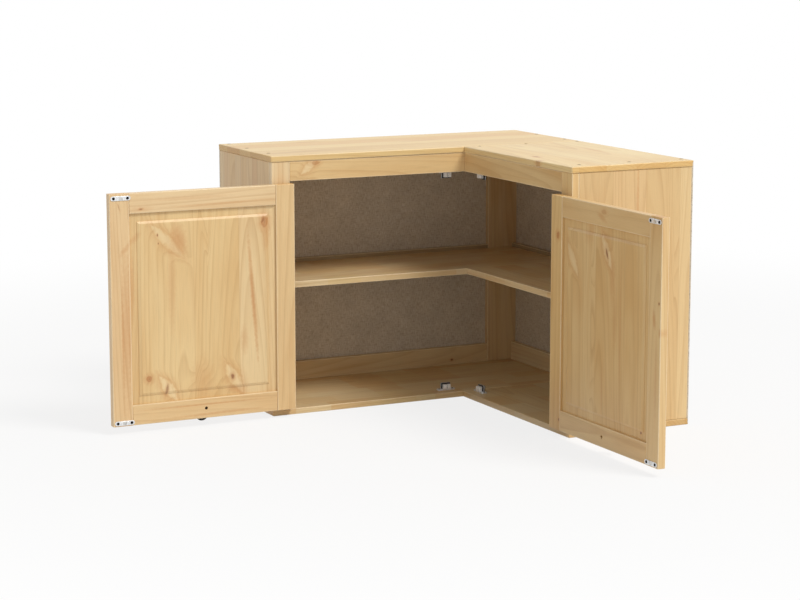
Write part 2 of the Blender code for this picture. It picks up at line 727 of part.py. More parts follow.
# Pull: a domed plate with an eye, a ring that hangs in it, and the screw from inside
def make_pull_plate(wing, pivot):
    back = OUTER_FACE - FIT_GAP
    profile = (
        (0, ROSETTE_CENTRE_THICKNESS),
        (ROSETTE_RADIUS / 2, ROSETTE_CENTRE_THICKNESS),
        (ROSETTE_RADIUS, ROSETTE_RIM_THICKNESS),
        (ROSETTE_RADIUS, 0),
        (0, 0),
    )
    shape = bmesh.new()
    centre = Vector((PULL_ALONG, back, PULL_UP))
    add_turned(shape, profile, centre, (0, -1, 0), ROSETTE_SIDES)
    name = f"{wing}_pull_plate"
    plate = add_part(name, wing, shape, BLACK_IRON, centre, pivot, round_piece=True)
    eye = bmesh.new()
    root = PULL_PROJECTION - FIT_GAP - ROSETTE_CENTRE_THICKNESS / 2
    eye_radius = RING_WIRE_RADIUS + EYE_CLEARANCE + EYE_WALL
    arc = [
        (-eye_radius * math.cos(turn), eye_radius * math.sin(turn))
        for turn in (math.radians(angle) for angle in range(-90, 90 + EYE_STEP_DEG, EYE_STEP_DEG))
    ]
    outline = [(root, -eye_radius), *arc, (root, eye_radius)]
    add_outline(eye, outline, EYE_THICKNESS, facing_along(RING_PIVOT))
    boolean(plate, add_helper(f"{name}_eye", wing, eye, pivot), "UNION")
    hole = bmesh.new()
    reach = Vector((EYE_THICKNESS / 2 + CUT_OVERRUN, 0, 0))
    hole_radius = RING_WIRE_RADIUS + EYE_CLEARANCE
    add_cylinder(hole, hole_radius, RING_PIVOT - reach, RING_PIVOT + reach, KNUCKLE_SIDES)
    boolean(plate, add_helper(f"{name}_eye_hole", wing, hole, pivot), "DIFFERENCE")
    return plate


# The ring hangs in the eye and turns about the middle of its wire there.
def make_ring(wing, pivot):
    shape = bmesh.new()
    centre = RING_PIVOT - Vector((0, 0, RING_RADIUS))
    add_torus(shape, RING_RADIUS, RING_WIRE_RADIUS, RING_SIDES, RING_WIRE_SIDES, facing_out(centre))
    add_part(f"{wing}_pull_ring", wing, shape, BLACK_IRON, RING_PIVOT, pivot, round_piece=True)


def make_pull_screw(wing, pivot, plate, rail):
    seat = INNER_FACE - PULL_SCREW_SEAT_DEPTH
    head_low = seat + FIT_GAP
    tip = OUTER_FACE - FIT_GAP - PULL_SCREW_REACH
    length = head_low + PULL_SCREW_HEAD_HEIGHT - tip
    profile = (
        (0, 0),
        (PULL_SCREW_HEAD_RADIUS, 0),
        (PULL_SCREW_HEAD_RADIUS, -PULL_SCREW_HEAD_HEIGHT),
        (PULL_SCREW_SHANK_RADIUS, -PULL_SCREW_HEAD_HEIGHT),
        (PULL_SCREW_SHANK_RADIUS, -length),
        (0, -length),
    )
    shape = bmesh.new()
    top = Vector((PULL_ALONG, head_low + PULL_SCREW_HEAD_HEIGHT, PULL_UP))
    add_turned(shape, profile, top, (0, 1, 0), KNUCKLE_SIDES)
    add_part(f"{wing}_pull_screw", wing, shape, SCREW_STEEL, top, pivot, round_piece=True)
    bore = (
        (0, PULL_SCREW_SEAT_DEPTH + CUT_OVERRUN),
        (PULL_COUNTERBORE_RADIUS, PULL_SCREW_SEAT_DEPTH + CUT_OVERRUN),
        (PULL_COUNTERBORE_RADIUS, 0),
        (PULL_SCREW_SHANK_RADIUS + FIT_GAP, 0),
        (PULL_SCREW_SHANK_RADIUS + FIT_GAP, tip - FIT_GAP - seat),
        (0, tip - FIT_GAP - seat),
    )
    hole = bmesh.new()
    add_turned(hole, bore, (PULL_ALONG, seat, PULL_UP), (0, 1, 0), KNUCKLE_SIDES)
    cutter = add_helper(f"{wing}_pull_screw_hole", wing, hole, pivot)
    boolean(rail, cutter, "DIFFERENCE")
    boolean(plate, cutter, "DIFFERENCE")


def make_door(wing):
    pivot = bpy.data.objects.new(f"{wing}_door_pivot", None)
    pivot.location = wing_place(wing, (PIVOT_ALONG, PIVOT_OUT, 0))
    parts.objects.link(pivot)
    stiles = make_door_stiles(wing, pivot)
    rails = make_door_rails(wing, pivot)
    make_door_panel(wing, pivot)
    for level in HINGE_HEIGHTS:
        make_leaf(wing, "door", level, stiles["hinge"], pivot)
        make_strike(wing, level, pivot)
    plate = make_pull_plate(wing, pivot)
    make_ring(wing, pivot)
    make_pull_screw(wing, pivot, plate, rails["bottom"])


clear_scene()
parts = new_collection("corner_cupboard")
cutters = new_collection("cutters")

make_horizontals()
frame_stiles = make_ends_and_frame()
make_backs()
make_shelf()
make_cleat_and_blocks()
for wing_name in WING_AXES:
    for level_name in HINGE_HEIGHTS:
        make_leaf(wing_name, "frame", level_name, frame_stiles[wing_name])
        make_pin(wing_name, level_name)
    make_catch(wing_name, "upper", OPENING_TOP - FIT_GAP, -1)
    make_catch(wing_name, "lower", FLOOR + FIT_GAP, 1)
    make_door(wing_name)
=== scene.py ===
# Corner wall cupboard in pine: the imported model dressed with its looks.
# Metres, +Z up. The left wing backs onto +Y and runs to -X, the right wing backs onto +X and runs to -Y.
import math

import bmesh
import bpy
from mathutils import Euler, Matrix, Vector


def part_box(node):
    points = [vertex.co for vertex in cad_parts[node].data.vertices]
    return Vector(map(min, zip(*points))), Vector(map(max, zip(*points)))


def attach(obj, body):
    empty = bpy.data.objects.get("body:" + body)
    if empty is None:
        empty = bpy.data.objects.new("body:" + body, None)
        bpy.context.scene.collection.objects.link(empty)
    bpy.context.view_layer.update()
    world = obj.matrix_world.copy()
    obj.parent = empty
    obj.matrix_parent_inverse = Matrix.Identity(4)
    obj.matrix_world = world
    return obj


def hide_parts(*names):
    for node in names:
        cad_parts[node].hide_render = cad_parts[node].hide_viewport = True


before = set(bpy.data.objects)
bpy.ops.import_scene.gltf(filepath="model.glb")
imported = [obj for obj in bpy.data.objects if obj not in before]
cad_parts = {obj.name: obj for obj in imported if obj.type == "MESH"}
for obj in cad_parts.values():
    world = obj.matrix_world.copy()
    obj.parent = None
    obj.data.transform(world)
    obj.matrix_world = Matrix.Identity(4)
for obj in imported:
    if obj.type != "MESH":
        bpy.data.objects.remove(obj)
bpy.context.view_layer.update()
scene = bpy.context.scene
scene.view_settings.view_transform = "Standard"
millimetre = 0.001
toMetres = Matrix.Scale(millimetre, 4)
weld = 0.001  # mm between points that count as one
wall = 0.157  # both walls stand this far from the frame's middle
wingAxes = {  # along the wing, out from the wall, up
    "left": ((-1, 0, 0), (0, -1, 0), (0, 0, 1)),
    "right": ((0, -1, 0), (-1, 0, 0), (0, 0, 1)),
}
plainWhite = (1.0, 1.0, 1.0, 1.0)
# settings that many nodes share: a mix of two colours, their product, a product plus a third value
colourMix = {"out": 2, "data_type": "RGBA"}
colourTimes = {"blend_type": "MULTIPLY", **colourMix}
timesPlus = {"operation": "MULTIPLY_ADD"}


def hexToLinear(hexColour):  # sRGB hex to the linear values a shader takes
    channels = [int(hexColour[i:i + 2], 16) / 255 for i in (1, 3, 5)]
    return tuple(c / 12.92 if c <= 0.04045 else ((c + 0.055) / 1.055) ** 2.4 for c in channels) + (1.0,)


def addNode(tree, kind, links=None, out=0, stops=(), **settings):
    # one node, its settings, what goes into it, and a ramp's stops as (place, hex colour or grey)
    node = tree.nodes.new(kind)
    for name, value in settings.items():
        setattr(node, name, value)
    for name, value in (links or {}).items():
        if isinstance(value, bpy.types.NodeSocket):
            tree.links.new(value, node.inputs[name])
        else:
            node.inputs[name].default_value = value
    for i, (place, colour) in enumerate(stops):
        element = node.color_ramp.elements[i] if i < 2 else node.color_ramp.elements.new(place)
        element.position = place
        element.color = hexToLinear(colour) if isinstance(colour, str) else (colour, colour, colour, 1.0)
    return node.outputs[out]


def newMaterial(name, roughness, metallic=0.0, specular=0.5):
    material = bpy.data.materials.new(name)
    material.use_nodes = True
    shader = material.node_tree.nodes["Principled BSDF"]
    shader.inputs["Roughness"].default_value = roughness
    shader.inputs["Metallic"].default_value = metallic
    shader.inputs["Specular IOR Level"].default_value = specular
    return material, material.node_tree, shader


def setMaterial(thing, material):
    thing.data.materials.clear()
    thing.data.materials.append(material)


def addThing(name, data):
    thing = bpy.data.objects.new(name, data)
    scene.collection.objects.link(thing)
    return thing


# stage: camera, softbox, pale room and a white paper floor
stageSettings = {
    "cameraPlace": (-2.6905, -4.8881, 1.1411),
    "cameraPitch": -9.594,
    "cameraYaw": 26.558,
    "focalPixels": 2289.5,
    "imageWidth": 800,
    "sensorWidth": 36.0,
    "floorSize": 240.0,
    "floorDrop": 0.0004,
    "floorColour": "#E4E4E3",
    "floorRoughness": 0.9,
    "clearRadius": (1.0, 2.6),  # shadows show inside, plain white outside
    "nearWhite": 0.8,  # share of plain white that the camera sees near the object
    "keyFrom": (0.42, -0.84, 1.1),
    "keyAim": (0, 0, 0.3),  # the cupboard's middle
    "keyDistance": 13.0,
    "keySize": 4.6,
    "keyPower": 1080.0,
    "keyColour": "#FFFCF8",
    "roomLight": 0.595,
    "roomColour": "#F7F7F8",
}


def makeStage(s):
    camera = bpy.data.cameras.new("camera")
    camera.sensor_width = s["sensorWidth"]
    camera.lens = s["focalPixels"] * camera.sensor_width / s["imageWidth"]
    camera.clip_end = s["floorSize"]
    holder = addThing("camera", camera)
    holder.location = s["cameraPlace"]
    holder.rotation_euler = Euler((math.radians(90 + s["cameraPitch"]), 0, math.radians(-s["cameraYaw"])))
    scene.camera = holder

    lamp = bpy.data.lights.new("softbox", "AREA")
    lamp.size = s["keySize"]
    lamp.energy = s["keyPower"]
    lamp.color = hexToLinear(s["keyColour"])[:3]
    towards = Vector(s["keyFrom"]).normalized()
    holder = addThing("softbox", lamp)
    holder.location = towards * s["keyDistance"] + Vector(s["keyAim"])
    holder.rotation_euler = (-towards).to_track_quat("-Z", "Y").to_euler()

    world = bpy.data.worlds.new("pale room")
    scene.world = world
    world.use_nodes = True
    tree = world.node_tree
    rays = addNode(tree, "ShaderNodeLightPath").node.outputs
    seen = addNode(tree, "ShaderNodeMath", {0: rays["Is Camera Ray"], 1: rays["Is Glossy Ray"]},
                   operation="MAXIMUM")
    light = addNode(tree, "ShaderNodeMapRange", {"Value": seen, "To Min": s["roomLight"]})
    colour = addNode(tree, "ShaderNodeMix", {
        0: rays["Is Camera Ray"], 6: hexToLinear(s["roomColour"]), 7: plainWhite}, **colourMix)
    background = tree.nodes["Background"]
    tree.links.new(colour, background.inputs["Color"])
    tree.links.new(light, background.inputs["Strength"])

    shape = bmesh.new()
    bmesh.ops.create_grid(shape, x_segments=1, y_segments=1, size=s["floorSize"] / 2)
    mesh = bpy.data.meshes.new("floor")
    shape.to_mesh(mesh)
    shape.free()
    floor = addThing("floor", mesh)
    floor.location = (0, 0, -s["floorDrop"])
    # matt and even, so that only the soft shadows show on it
    material, tree, shader = newMaterial("white paper floor", s["floorRoughness"], specular=0.0)
    shader.inputs["Base Color"].default_value = hexToLinear(s["floorColour"])
    place = addNode(tree, "ShaderNodeTexCoord", out=3)
    away = addNode(tree, "ShaderNodeVectorMath", {0: place}, out=1, operation="LENGTH")
    inner, outer = s["clearRadius"]
    white = addNode(tree, "ShaderNodeMapRange", {
        "Value": away, "From Min": inner, "From Max": outer, "To Min": s["nearWhite"],
    }, interpolation_type="SMOOTHSTEP")
    rays = addNode(tree, "ShaderNodeLightPath").node.outputs
    seen = addNode(tree, "ShaderNodeMath", {0: rays["Is Camera Ray"], 1: rays["Is Glossy Ray"]},
                   operation="MAXIMUM")
    white = addNode(tree, "ShaderNodeMath", {0: white, 1: seen}, operation="MULTIPLY")
    plain = addNode(tree, "ShaderNodeEmission", {"Color": plainWhite})
    mixed = addNode(tree, "ShaderNodeMixShader", {0: white, 1: shader.outputs[0], 2: plain})
    tree.links.new(mixed, tree.nodes["Material Output"].inputs["Surface"])
    setMaterial(floor, material)
    print("stage ready")


makeStage(stageSettings)

# Plantation pine, planed and clear lacquered. Each stave is cut from a trunk that ran beside it and
# leaned a little, so faces show long arches and stripes, and sawn ends show arcs.
pineSettings = {
    "early": "#EDD5AA",  # pale spring wood
    "amber": "#DDB885",  # broad resin-warm streaks
    "late": "#B88956",  # thin summer wood lines
    "rose": "#C98F59",  # flushed wood round knots
    "knotRim": "#B07444",
    "knotCore": "#7C4527",
    "knotPale": "#F0D9AE",
    "sawnEnd": "#F4E6CE",  # multiplies the sawn ends, which drink more lacquer
    # paler colour of the long edges: rubbed wear and a painted highlight on the arris
    "rubbedEdgeHighlight": "#FAEAC8",
    "staveTones": ((0.0, "#F6E7D6"), (0.35, "#FFFFFF"), (0.7, "#FBF3E4"), (1.0, "#F3E9DC")),
    "blockTones": (
        (0.1, "#F8E9D4"), (0.26, "#FCF6EC"), (0.55, "#FFFFFF"), (0.8, "#FBF5E5"), (0.95, "#F8EDD8")),
    "roughness": 0.38,
    "specular": 0.45,
    "boardStep": 17.3,  # staves from one board to the next, so that no two are cut alike
    "luckStep": 3.7,  # the same for a board in one piece
    "uneven": 0.45,  # how much the staves differ in width
    "blockMove": 91.0,  # blocks that neighbouring staves are moved by, at most
    "woodMove": 900,  # mm that their fibres are moved by, at most
    "seamWidth": 0.8,  # mm
    "seamDark": 0.3,
    "pith": ((-55.0, 55.0), (34.0, 95.0), (-0.055, 0.055)),  # mm beside the stave, mm below, lean
    "ringGap": 7.5,  # mm from ring to ring
    "ringLine": ((0.0, 0.0), (0.5, 0.06), (0.84, 0.75), (0.92, 1.0), (1.0, 0.0)),  # darkness across a ring
    "lineDepth": {"To Min": 0.03, "To Max": 0.34},  # from the faintest line to the strongest
    "wander": (9.0, 15.0),  # mm that the rings stray, sideways and in depth
    "wanderScale": (0.0022, 0.012, 0.012),  # per mm along, across and through
    "fibreScale": (0.02, 0.75, 0.75),  # the same
    "fibreTone": ((0.25, 0.91), (0.5, 1.0), (0.8, 1.04)),
    "streakScale": (0.004, 0.22, 0.22),  # the same
    "streak": {"From Min": 0.6, "From Max": 0.75, "To Max": 0.32},
    "bandAlong": 0.0028,  # per mm
    "bandScale": (0.36, 1.0, 40.0),  # per ring, along the band, from stave to stave
    "bandSteps": ((0.36, 0.0), (0.55, 0.35), (0.78, 1.0)),
    "raggedScale": 0.13,  # per mm
    "markDepth": 1000.0,  # mm, so that a mark goes through its board
    "markReach": 4,  # a mark's colours spread over this many times its size
    "end": {"From Min": 0.75, "From Max": 0.95},
    # where long edges turn paler, from rubbed wear and a painted highlight
    "rubbedAndHighlit": {"From Min": 0.4, "From Max": 2.4, "To Min": 0.55, "To Max": 0.0},  # mm in from a long edge
    "rubbedHighlightRagged": 1.6,
    "rubbedDull": 0.3,
    "fibreDull": 0.16,  # what a fibre adds to the roughness at most
    "fibreGloss": 0.08,  # what comes off it everywhere
    "lineRelief": -0.8,
    "bump": {"Strength": 0.25, "Distance": 0.05 * millimetre},
}

# axes run along the grain, across the board and through it; stave and block lengths are in mm;
# warm is the share of amber bands, and a tint multiplies the wood's colours
# on boards that stand in shade the tint is painted shade, as marked below
boards = {
    "top_board_left": {"axes": "XYZ", "stave": 72, "warm": 0.3, "tint": "#FFFFF0"},
    "top_board_right": {"axes": "YXZ", "stave": 72, "warm": 0.7, "tint": "#FFFFEF"},
    # the bottom boards' and shelves' greyer tints are painted shade for the cupboard's shaded inside
    "bottom_board_left": {"axes": "XYZ", "stave": 60, "block": 90, "warm": 0.7, "tint": "#F5F6F3"},
    "bottom_board_right": {"axes": "YXZ", "stave": 60, "block": 104, "warm": 0.6, "tint": "#F1F3F0"},
    "shelf_left": {"axes": "XYZ", "stave": 60, "block": 90, "tint": "#EEEEEC"},
    "shelf_right": {"axes": "YXZ", "stave": 60, "block": 90, "tint": "#EEEEEC"},
    "left_end_panel": {"axes": "ZYX", "stave": 34, "warm": 0.2, "tint": "#FCF7F0"},
    "right_end_panel": {"axes": "ZXY", "stave": 96, "warm": 0.25, "tint": "#F6F4EC"},
    "left_stile": {"axes": "ZXY", "warm": 0.7},
    # right_stile and right_top_rail: the yellower tint is painted shade for the right wing's shaded front
    "right_stile": {"axes": "ZYX", "tint": "#F9F2DE"},
    "left_top_rail": {"axes": "XZY", "warm": 0.5, "tint": "#FDFFF8"},
    "right_top_rail": {"axes": "YZX", "tint": "#F4F0E6"},
    "left_top_back_rail": {"axes": "XZY"},
    # the middle back rails' dark grey tint is a painted shadow in the gap behind the shelves
    "left_middle_back_rail": {"axes": "XZY", "tint": "#BFBDB8"},
    # the bottom back rails' and the corner post's greyer tints are painted shade for the shaded inside too
    "left_bottom_back_rail": {"axes": "XZY", "tint": "#F4F7F8"},
    "right_top_back_rail": {"axes": "YZX"},
    "right_middle_back_rail": {"axes": "YZX", "tint": "#BFBDB8"},
    "right_bottom_back_rail": {"axes": "YZX", "tint": "#F4F7F8"},
    "corner_post": {"axes": "ZXY", "tint": "#F2F3F4"},
    "top_seam_cleat": {"axes": "XYZ"},
    "left_catch_block": {"axes": "XZY"},
    "right_catch_block": {"axes": "YZX"},
    "left_door_hinge_stile": {"axes": "ZXY", "warm": 0.8},
    "left_door_free_stile": {"axes": "ZXY", "warm": 0.5},
    "left_door_bottom_rail": {"axes": "XZY", "warm": 0.5},
    "left_door_top_rail": {"axes": "XZY", "warm": 0.8},
    "left_door_panel": {"axes": "ZXY", "stave": 120, "warm": 0.8, "tint": "#FDFDF7"},
    # the right door's yellower tints are painted shade for its shaded face
    "right_door_hinge_stile": {"axes": "ZYX", "tint": "#F8F3E4"},
    "right_door_free_stile": {"axes": "ZYX", "tint": "#F8F3E4"},
    "right_door_bottom_rail": {"axes": "YZX", "tint": "#FBF7EC"},
    "right_door_top_rail": {"axes": "YZX", "tint": "#FCFAF2"},
    "right_door_panel": {"axes": "ZYX", "stave": 120, "tint": "#F6F1E4"},
}

# marks in the wood: kind, place along and across, half length, half width, lean in degrees, strength.
# A spike is a knot sawn along its branch, a heart is its dark middle, a flush is rosy wood near it,
# and a flame only bends the rings into a long arch.
marks = {
    "left_door_panel": [
        ("spike", 427, -912, 55, 12, -45, 0.5), ("heart", 441, -934, 3.5, 1.8, 0, 0.9),
        ("heart", 422, -932, 2.5, 1.5, 0, 0.7), ("flush", 430, -884, 46, 22, -10, 0.6),
        ("knot", 456, -677, 13, 9, 0, 0.75), ("heart", 460, -681, 8, 3, 30, 0.5),
        ("flush", 430, -672, 50, 14, 5, 0.35), ("knot", 120, -959, 7, 6.5, 0, 0.8),
        ("spike", 93, -912, 38, 12, -36, 0.7), ("heart", 92, -917, 15, 4, 8, 0.6),
        ("spike", 105, -755, 42, 13, -32, 0.6), ("heart", 108, -759, 8, 5, 0, 0.8),
        ("flush", 78, -752, 12, 26, 10, 0.4), ("flush", 190, -729, 40, 12, 0, 0.35),
        ("flush", 285, -707, 175, 6, -4.3, 0.8), ("flame", 500, -815, 124, 17, 0, 0.7),
        ("flame", 60, -832, 90, 50, 0, -0.8), ("flush", 110, -832, 60, 34, 0, 0.3),
        ("flush", 330, -902, 130, 12, 0, 0.3), ("flush", 436, -986, 24, 8, 42, 0.35),
        ("flush", 330, -996, 110, 10, 0, 0.4),
    ],
    "right_door_panel": [
        ("spike", 408, -692, 44, 12, 34, 0.5), ("spike", 440, -832, 42, 12, 30, 0.7),
        ("heart", 436, -833, 13, 4, 20, 0.8), ("flush", 385, -856, 60, 14, 0, 0.4),
        ("flush", 300, -868, 80, 10, 0, 0.35), ("heart", 79, -970, 3, 2.6, 0, 1.0),
        ("flush", 470, -760, 30, 24, 0, 0.3), ("flame", 250, -770, 190, 30, 0, 0.8),
        ("flush", 288, -889, 184, 4, 0, 0.5), ("flush", 140, -819, 76, 3.5, 0, 0.5),
    ],
    "right_door_hinge_stile": [("knot", 451, -633, 7, 5.5, 0, 0.9), ("heart", 43, -645, 4, 2.5, 0, 0.9)],
    "right_door_free_stile": [
        ("heart", 361, -1038, 3, 2.4, 0, 1.0), ("flush", 325, -1021, 26, 7, 8, 0.7),
        ("flush", 301, -1042, 12, 5, 0, 0.7), ("flush", 200, -1030, 120, 5, 0, 0.4),
    ],
    "left_door_free_stile": [
        ("flush", 414, -1010, 24, 7, 42, 0.4), ("flush", 205, -1019, 200, 3.5, 0, 0.5),
        ("flush", 240, -1004, 230, 2.2, 0, 0.45), ("flush", 230, -1010, 210, 13, 0, 0.4),
        ("heart", 507, -1023, 9, 1.6, -14, 0.35),
    ],
    "left_door_top_rail": [
        ("heart", -972, 501, 5, 2, 5, 0.75), ("flush", -972, 501, 34, 8, 2, 0.3),
        ("flush", -780, 504, 150, 3, 1, 0.4), ("flush", -860, 520, 120, 6, 0, 0.25),
    ],
    "left_door_bottom_rail": [("flush", -825, 50.5, 190, 2.6, 0, 0.6), ("flush", -800, 28, 150, 4, 1, 0.45)],
    "right_door_top_rail": [("knot", -822, 523, 9, 5, 0, 0.4), ("flush", -812, 512, 26, 8, 25, 0.5)],
    "left_top_rail": [("spike", -556, 572, 26, 9, 40, 0.6), ("knot", -540, 580, 9, 5, 0, 0.6)],
    "top_board_left": [
        ("heart", -446, 109, 30, 4, 0, 0.35), ("flush", -446, 104, 70, 12, 0, 0.35),
        ("flush", -178, 20, 80, 12, 8, 0.45),
    ],
    "top_board_right": [
        ("heart", -432, -120, 11, 5, 0, 0.8), ("flush", -432, -120, 30, 12, 0, 0.5),
        ("flush", -83, 122, 80, 14, 0, 0.5), ("flush", -355, 75, 90, 9, 4, 0.4),
        ("knot", -503, -157, 9, 9, 0, 0.5),
    ],
    "left_bottom_back_rail": [("heart", -31, 27, 4, 3, 0, 0.9)],
    "right_end_panel": [("flame", 586, 112, 320, 26, 0, 0.55), ("flush", 440, 13, 260, 4, 0, 0.5)],
}
# push is in ring gaps; its reach, the ragged edge and the places in the layers are shares of the mark's own
# size. A layer is a colour and its strength from the mark's middle outwards.
markKinds = {
    "spike": {"push": 1.7, "reach": 3.6, "ragged": 0.9, "layers": [
        ("rose", ((0.8, 0.0), (1.1, 0.6), (1.5, 0.3), (2.6, 0.0))),
        ("knotPale", ((0.3, 0.8), (1.15, 0.0)))]},
    "knot": {"push": 1.2, "reach": 3.2, "ragged": 0.8, "layers": [
        ("rose", ((0.7, 0.9), (1.2, 0.45), (2.6, 0.0))),
        ("knotRim", ((0.2, 0.2), (0.8, 0.7), (1.15, 0.0))),
        ("knotCore", ((0.0, 0.5), (0.5, 0.0)))]},
    "heart": {"ragged": 0.9, "layers": [
        ("rose", ((0.8, 0.6), (1.9, 0.0))),
        ("knotCore", ((0.45, 0.9), (1.0, 0.0)))]},
    "flush": {"ragged": 0.7, "layers": [("rose", ((0.0, 1.0), (0.4, 0.75), (1.0, 0.0)))]},
    "flame": {"push": 3.2, "reach": 1.6, "ragged": 0.0, "layers": []},
}


def makePine(name, board, index, s):
    title = "lacquered pine " + name.replace("_", " ")
    material, tree, shader = newMaterial(title, s["roughness"], specular=s["specular"])
    low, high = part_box(name)
    middle = (low + high) / 2
    letters = ["XYZ".index(letter) for letter in board["axes"]]
    halfWidth, halfDepth = ((high - low)[letter] / 2 / millimetre for letter in letters[1:])
    # a board's tint, which on the shaded boards is painted shade
    tint = hexToLinear(board.get("tint", "#FFFFFF"))
    early, amber, late = (
        [a * b for a, b in zip(hexToLinear(s[shade]), tint)] for shade in ("early", "amber", "late"))
    coordinates = addNode(tree, "ShaderNodeTexCoord").node.outputs
    local = addNode(tree, "ShaderNodeVectorMath", {0: coordinates["Object"], 1: middle}, operation="SUBTRACT")
    local = addNode(tree, "ShaderNodeVectorMath", {0: local, "Scale": 1 / millimetre}, operation="SCALE")
    parts = addNode(tree, "ShaderNodeSeparateXYZ", {0: local}).node.outputs
    along, across, through = (parts[letter] for letter in letters)
    grain = addNode(tree, "ShaderNodeCombineXYZ", {0: along, 1: across, 2: through})

    stave = board.get("stave")
    if stave:  # glued staves of unequal width, each from another tree
        inStaves = addNode(tree, "ShaderNodeMath", {
            0: across, 1: 1 / stave, 2: s["boardStep"] * (index + 1)}, **timesPlus)
        staves = {"W": inStaves, "Scale": 1.0, "Randomness": s["uneven"]}
        cells = addNode(tree, "ShaderNodeTexVoronoi", staves, voronoi_dimensions="1D").node.outputs
        seam = addNode(tree, "ShaderNodeTexVoronoi", staves, voronoi_dimensions="1D",
                       feature="DISTANCE_TO_EDGE")
        inStave = addNode(tree, "ShaderNodeMath", {0: inStaves, 1: cells["W"]}, operation="SUBTRACT")
        inStave = addNode(tree, "ShaderNodeMath", {0: inStave, 1: stave}, operation="MULTIPLY")
        luck = cells["Color"]
    else:
        inStave = across
        luck = addNode(tree, "ShaderNodeTexWhiteNoise", {"W": s["luckStep"] * index + 0.5}, out=1,
                       noise_dimensions="1D")
    lucks = addNode(tree, "ShaderNodeSeparateXYZ", {0: luck}).node.outputs
    toneLuck, tones = lucks[1], s["staveTones"]
    if "block" in board:  # short lengths finger-jointed end to end, seen as steps in tone
        inBlocks = addNode(tree, "ShaderNodeMath", {0: along, 1: 1 / board["block"]}, operation="MULTIPLY")
        inBlocks = addNode(tree, "ShaderNodeMath", {0: lucks[2], 1: s["blockMove"], 2: inBlocks}, **timesPlus)
        block = addNode(tree, "ShaderNodeTexVoronoi", {"W": inBlocks, "Scale": 1.0}, out=1,
                        voronoi_dimensions="1D")
        toneLuck, tones = addNode(tree, "ShaderNodeSeparateXYZ", {0: block}), s["blockTones"]

    # where the trunk's middle ran, and how its rings stray
    aside, below, lean = (
        addNode(tree, "ShaderNodeMapRange", {"Value": share, "To Min": least, "To Max": most})
        for share, (least, most) in zip(lucks, s["pith"]))
    shifted = addNode(tree, "ShaderNodeVectorMath", {0: luck, 1: (s["woodMove"],) * 3, 2: grain}, **timesPlus)
    stretched = addNode(tree, "ShaderNodeVectorMath", {0: shifted, 1: s["wanderScale"]}, operation="MULTIPLY")
    wander = addNode(tree, "ShaderNodeTexNoise", {"Vector": stretched, "Scale": 1.0, "Detail": 1.5}, out=1)
    wander = addNode(tree, "ShaderNodeVectorMath", {0: wander, 1: (0.5, 0.5, 0.5)}, operation="SUBTRACT")
    wanders = addNode(tree, "ShaderNodeSeparateXYZ", {0: wander}).node.outputs
    sideways = addNode(tree, "ShaderNodeMath", {0: inStave, 1: aside}, operation="SUBTRACT")
    sideways = addNode(tree, "ShaderNodeMath", {0: wanders[0], 1: s["wander"][0], 2: sideways}, **timesPlus)
    depth = addNode(tree, "ShaderNodeMath", {0: along, 1: lean, 2: through}, **timesPlus)
    depth = addNode(tree, "ShaderNodeMath", {0: depth, 1: below}, operation="ADD")
    depth = addNode(tree, "ShaderNodeMath", {0: wanders[1], 1: s["wander"][1], 2: depth}, **timesPlus)
    spoke = addNode(tree, "ShaderNodeCombineXYZ", {0: sideways, 1: depth})
    fromPith = addNode(tree, "ShaderNodeVectorMath", {0: spoke}, out=1, operation="LENGTH")

    # marks push the rings aside, which close round them
    ragged = addNode(tree, "ShaderNodeTexNoise", {"Vector": grain, "Scale": s["raggedScale"], "Detail": 3.0})
    ragged = addNode(tree, "ShaderNodeMath", {0: ragged, 1: 0.5}, operation="SUBTRACT")
    found = []
    for kind, alongAt, acrossAt, halfLength, halfAcross, turn, strength in marks.get(name, []):
        rule = markKinds[kind]
        centre = (alongAt - middle[letters[0]] / millimetre, acrossAt - middle[letters[1]] / millimetre, 0)
        away = addNode(tree, "ShaderNodeMapping", {
            "Vector": grain, "Location": centre, "Rotation": (0, 0, math.radians(turn)),
            "Scale": (halfLength, halfAcross, s["markDepth"])}, vector_type="TEXTURE")
        if kind in ("spike", "flame"):  # a lens: |across| + along squared
            sides = addNode(tree, "ShaderNodeSeparateXYZ", {0: away}).node.outputs
            square = addNode(tree, "ShaderNodeMath", {0: sides[0], 1: sides[0]}, operation="MULTIPLY")
            width = addNode(tree, "ShaderNodeMath", {0: sides[1]}, operation="ABSOLUTE")
            away = addNode(tree, "ShaderNodeMath", {0: square, 1: width}, operation="ADD")
        else:
            away = addNode(tree, "ShaderNodeVectorMath", {0: away}, out=1, operation="LENGTH")
        away = addNode(tree, "ShaderNodeMath", {0: ragged, 1: rule["ragged"], 2: away}, **timesPlus)
        found.append((rule["layers"], away, abs(strength)))
        if "push" in rule:
            push = addNode(tree, "ShaderNodeMapRange", {
                "Value": away, "From Max": rule["reach"], "To Min": 1.0, "To Max": 0.0,
            }, interpolation_type="SMOOTHSTEP")
            push = addNode(tree, "ShaderNodeMath", {0: push, 1: 2.0}, operation="POWER")
            amount = math.copysign(rule["push"] * s["ringGap"], strength)
            fromPith = addNode(tree, "ShaderNodeMath", {0: push, 1: amount, 2: fromPith}, **timesPlus)

    # each ring darkens slowly and ends in a line
    inRings = addNode(tree, "ShaderNodeMath", {0: fromPith, 1: 1 / s["ringGap"]}, operation="MULTIPLY")
    ring = addNode(tree, "ShaderNodeMath", {0: inRings}, operation="FRACT")
    whichRing = addNode(tree, "ShaderNodeMath", {0: inRings}, operation="FLOOR")
    ringLuck = addNode(tree, "ShaderNodeTexWhiteNoise", {"W": whichRing}, noise_dimensions="1D")
    line = addNode(tree, "ShaderNodeValToRGB", {0: ring}, stops=s["ringLine"])
    lineDepth = addNode(tree, "ShaderNodeMapRange", {"Value": ringLuck, **s["lineDepth"]})
    line = addNode(tree, "ShaderNodeMath", {0: line, 1: lineDepth}, operation="MULTIPLY")

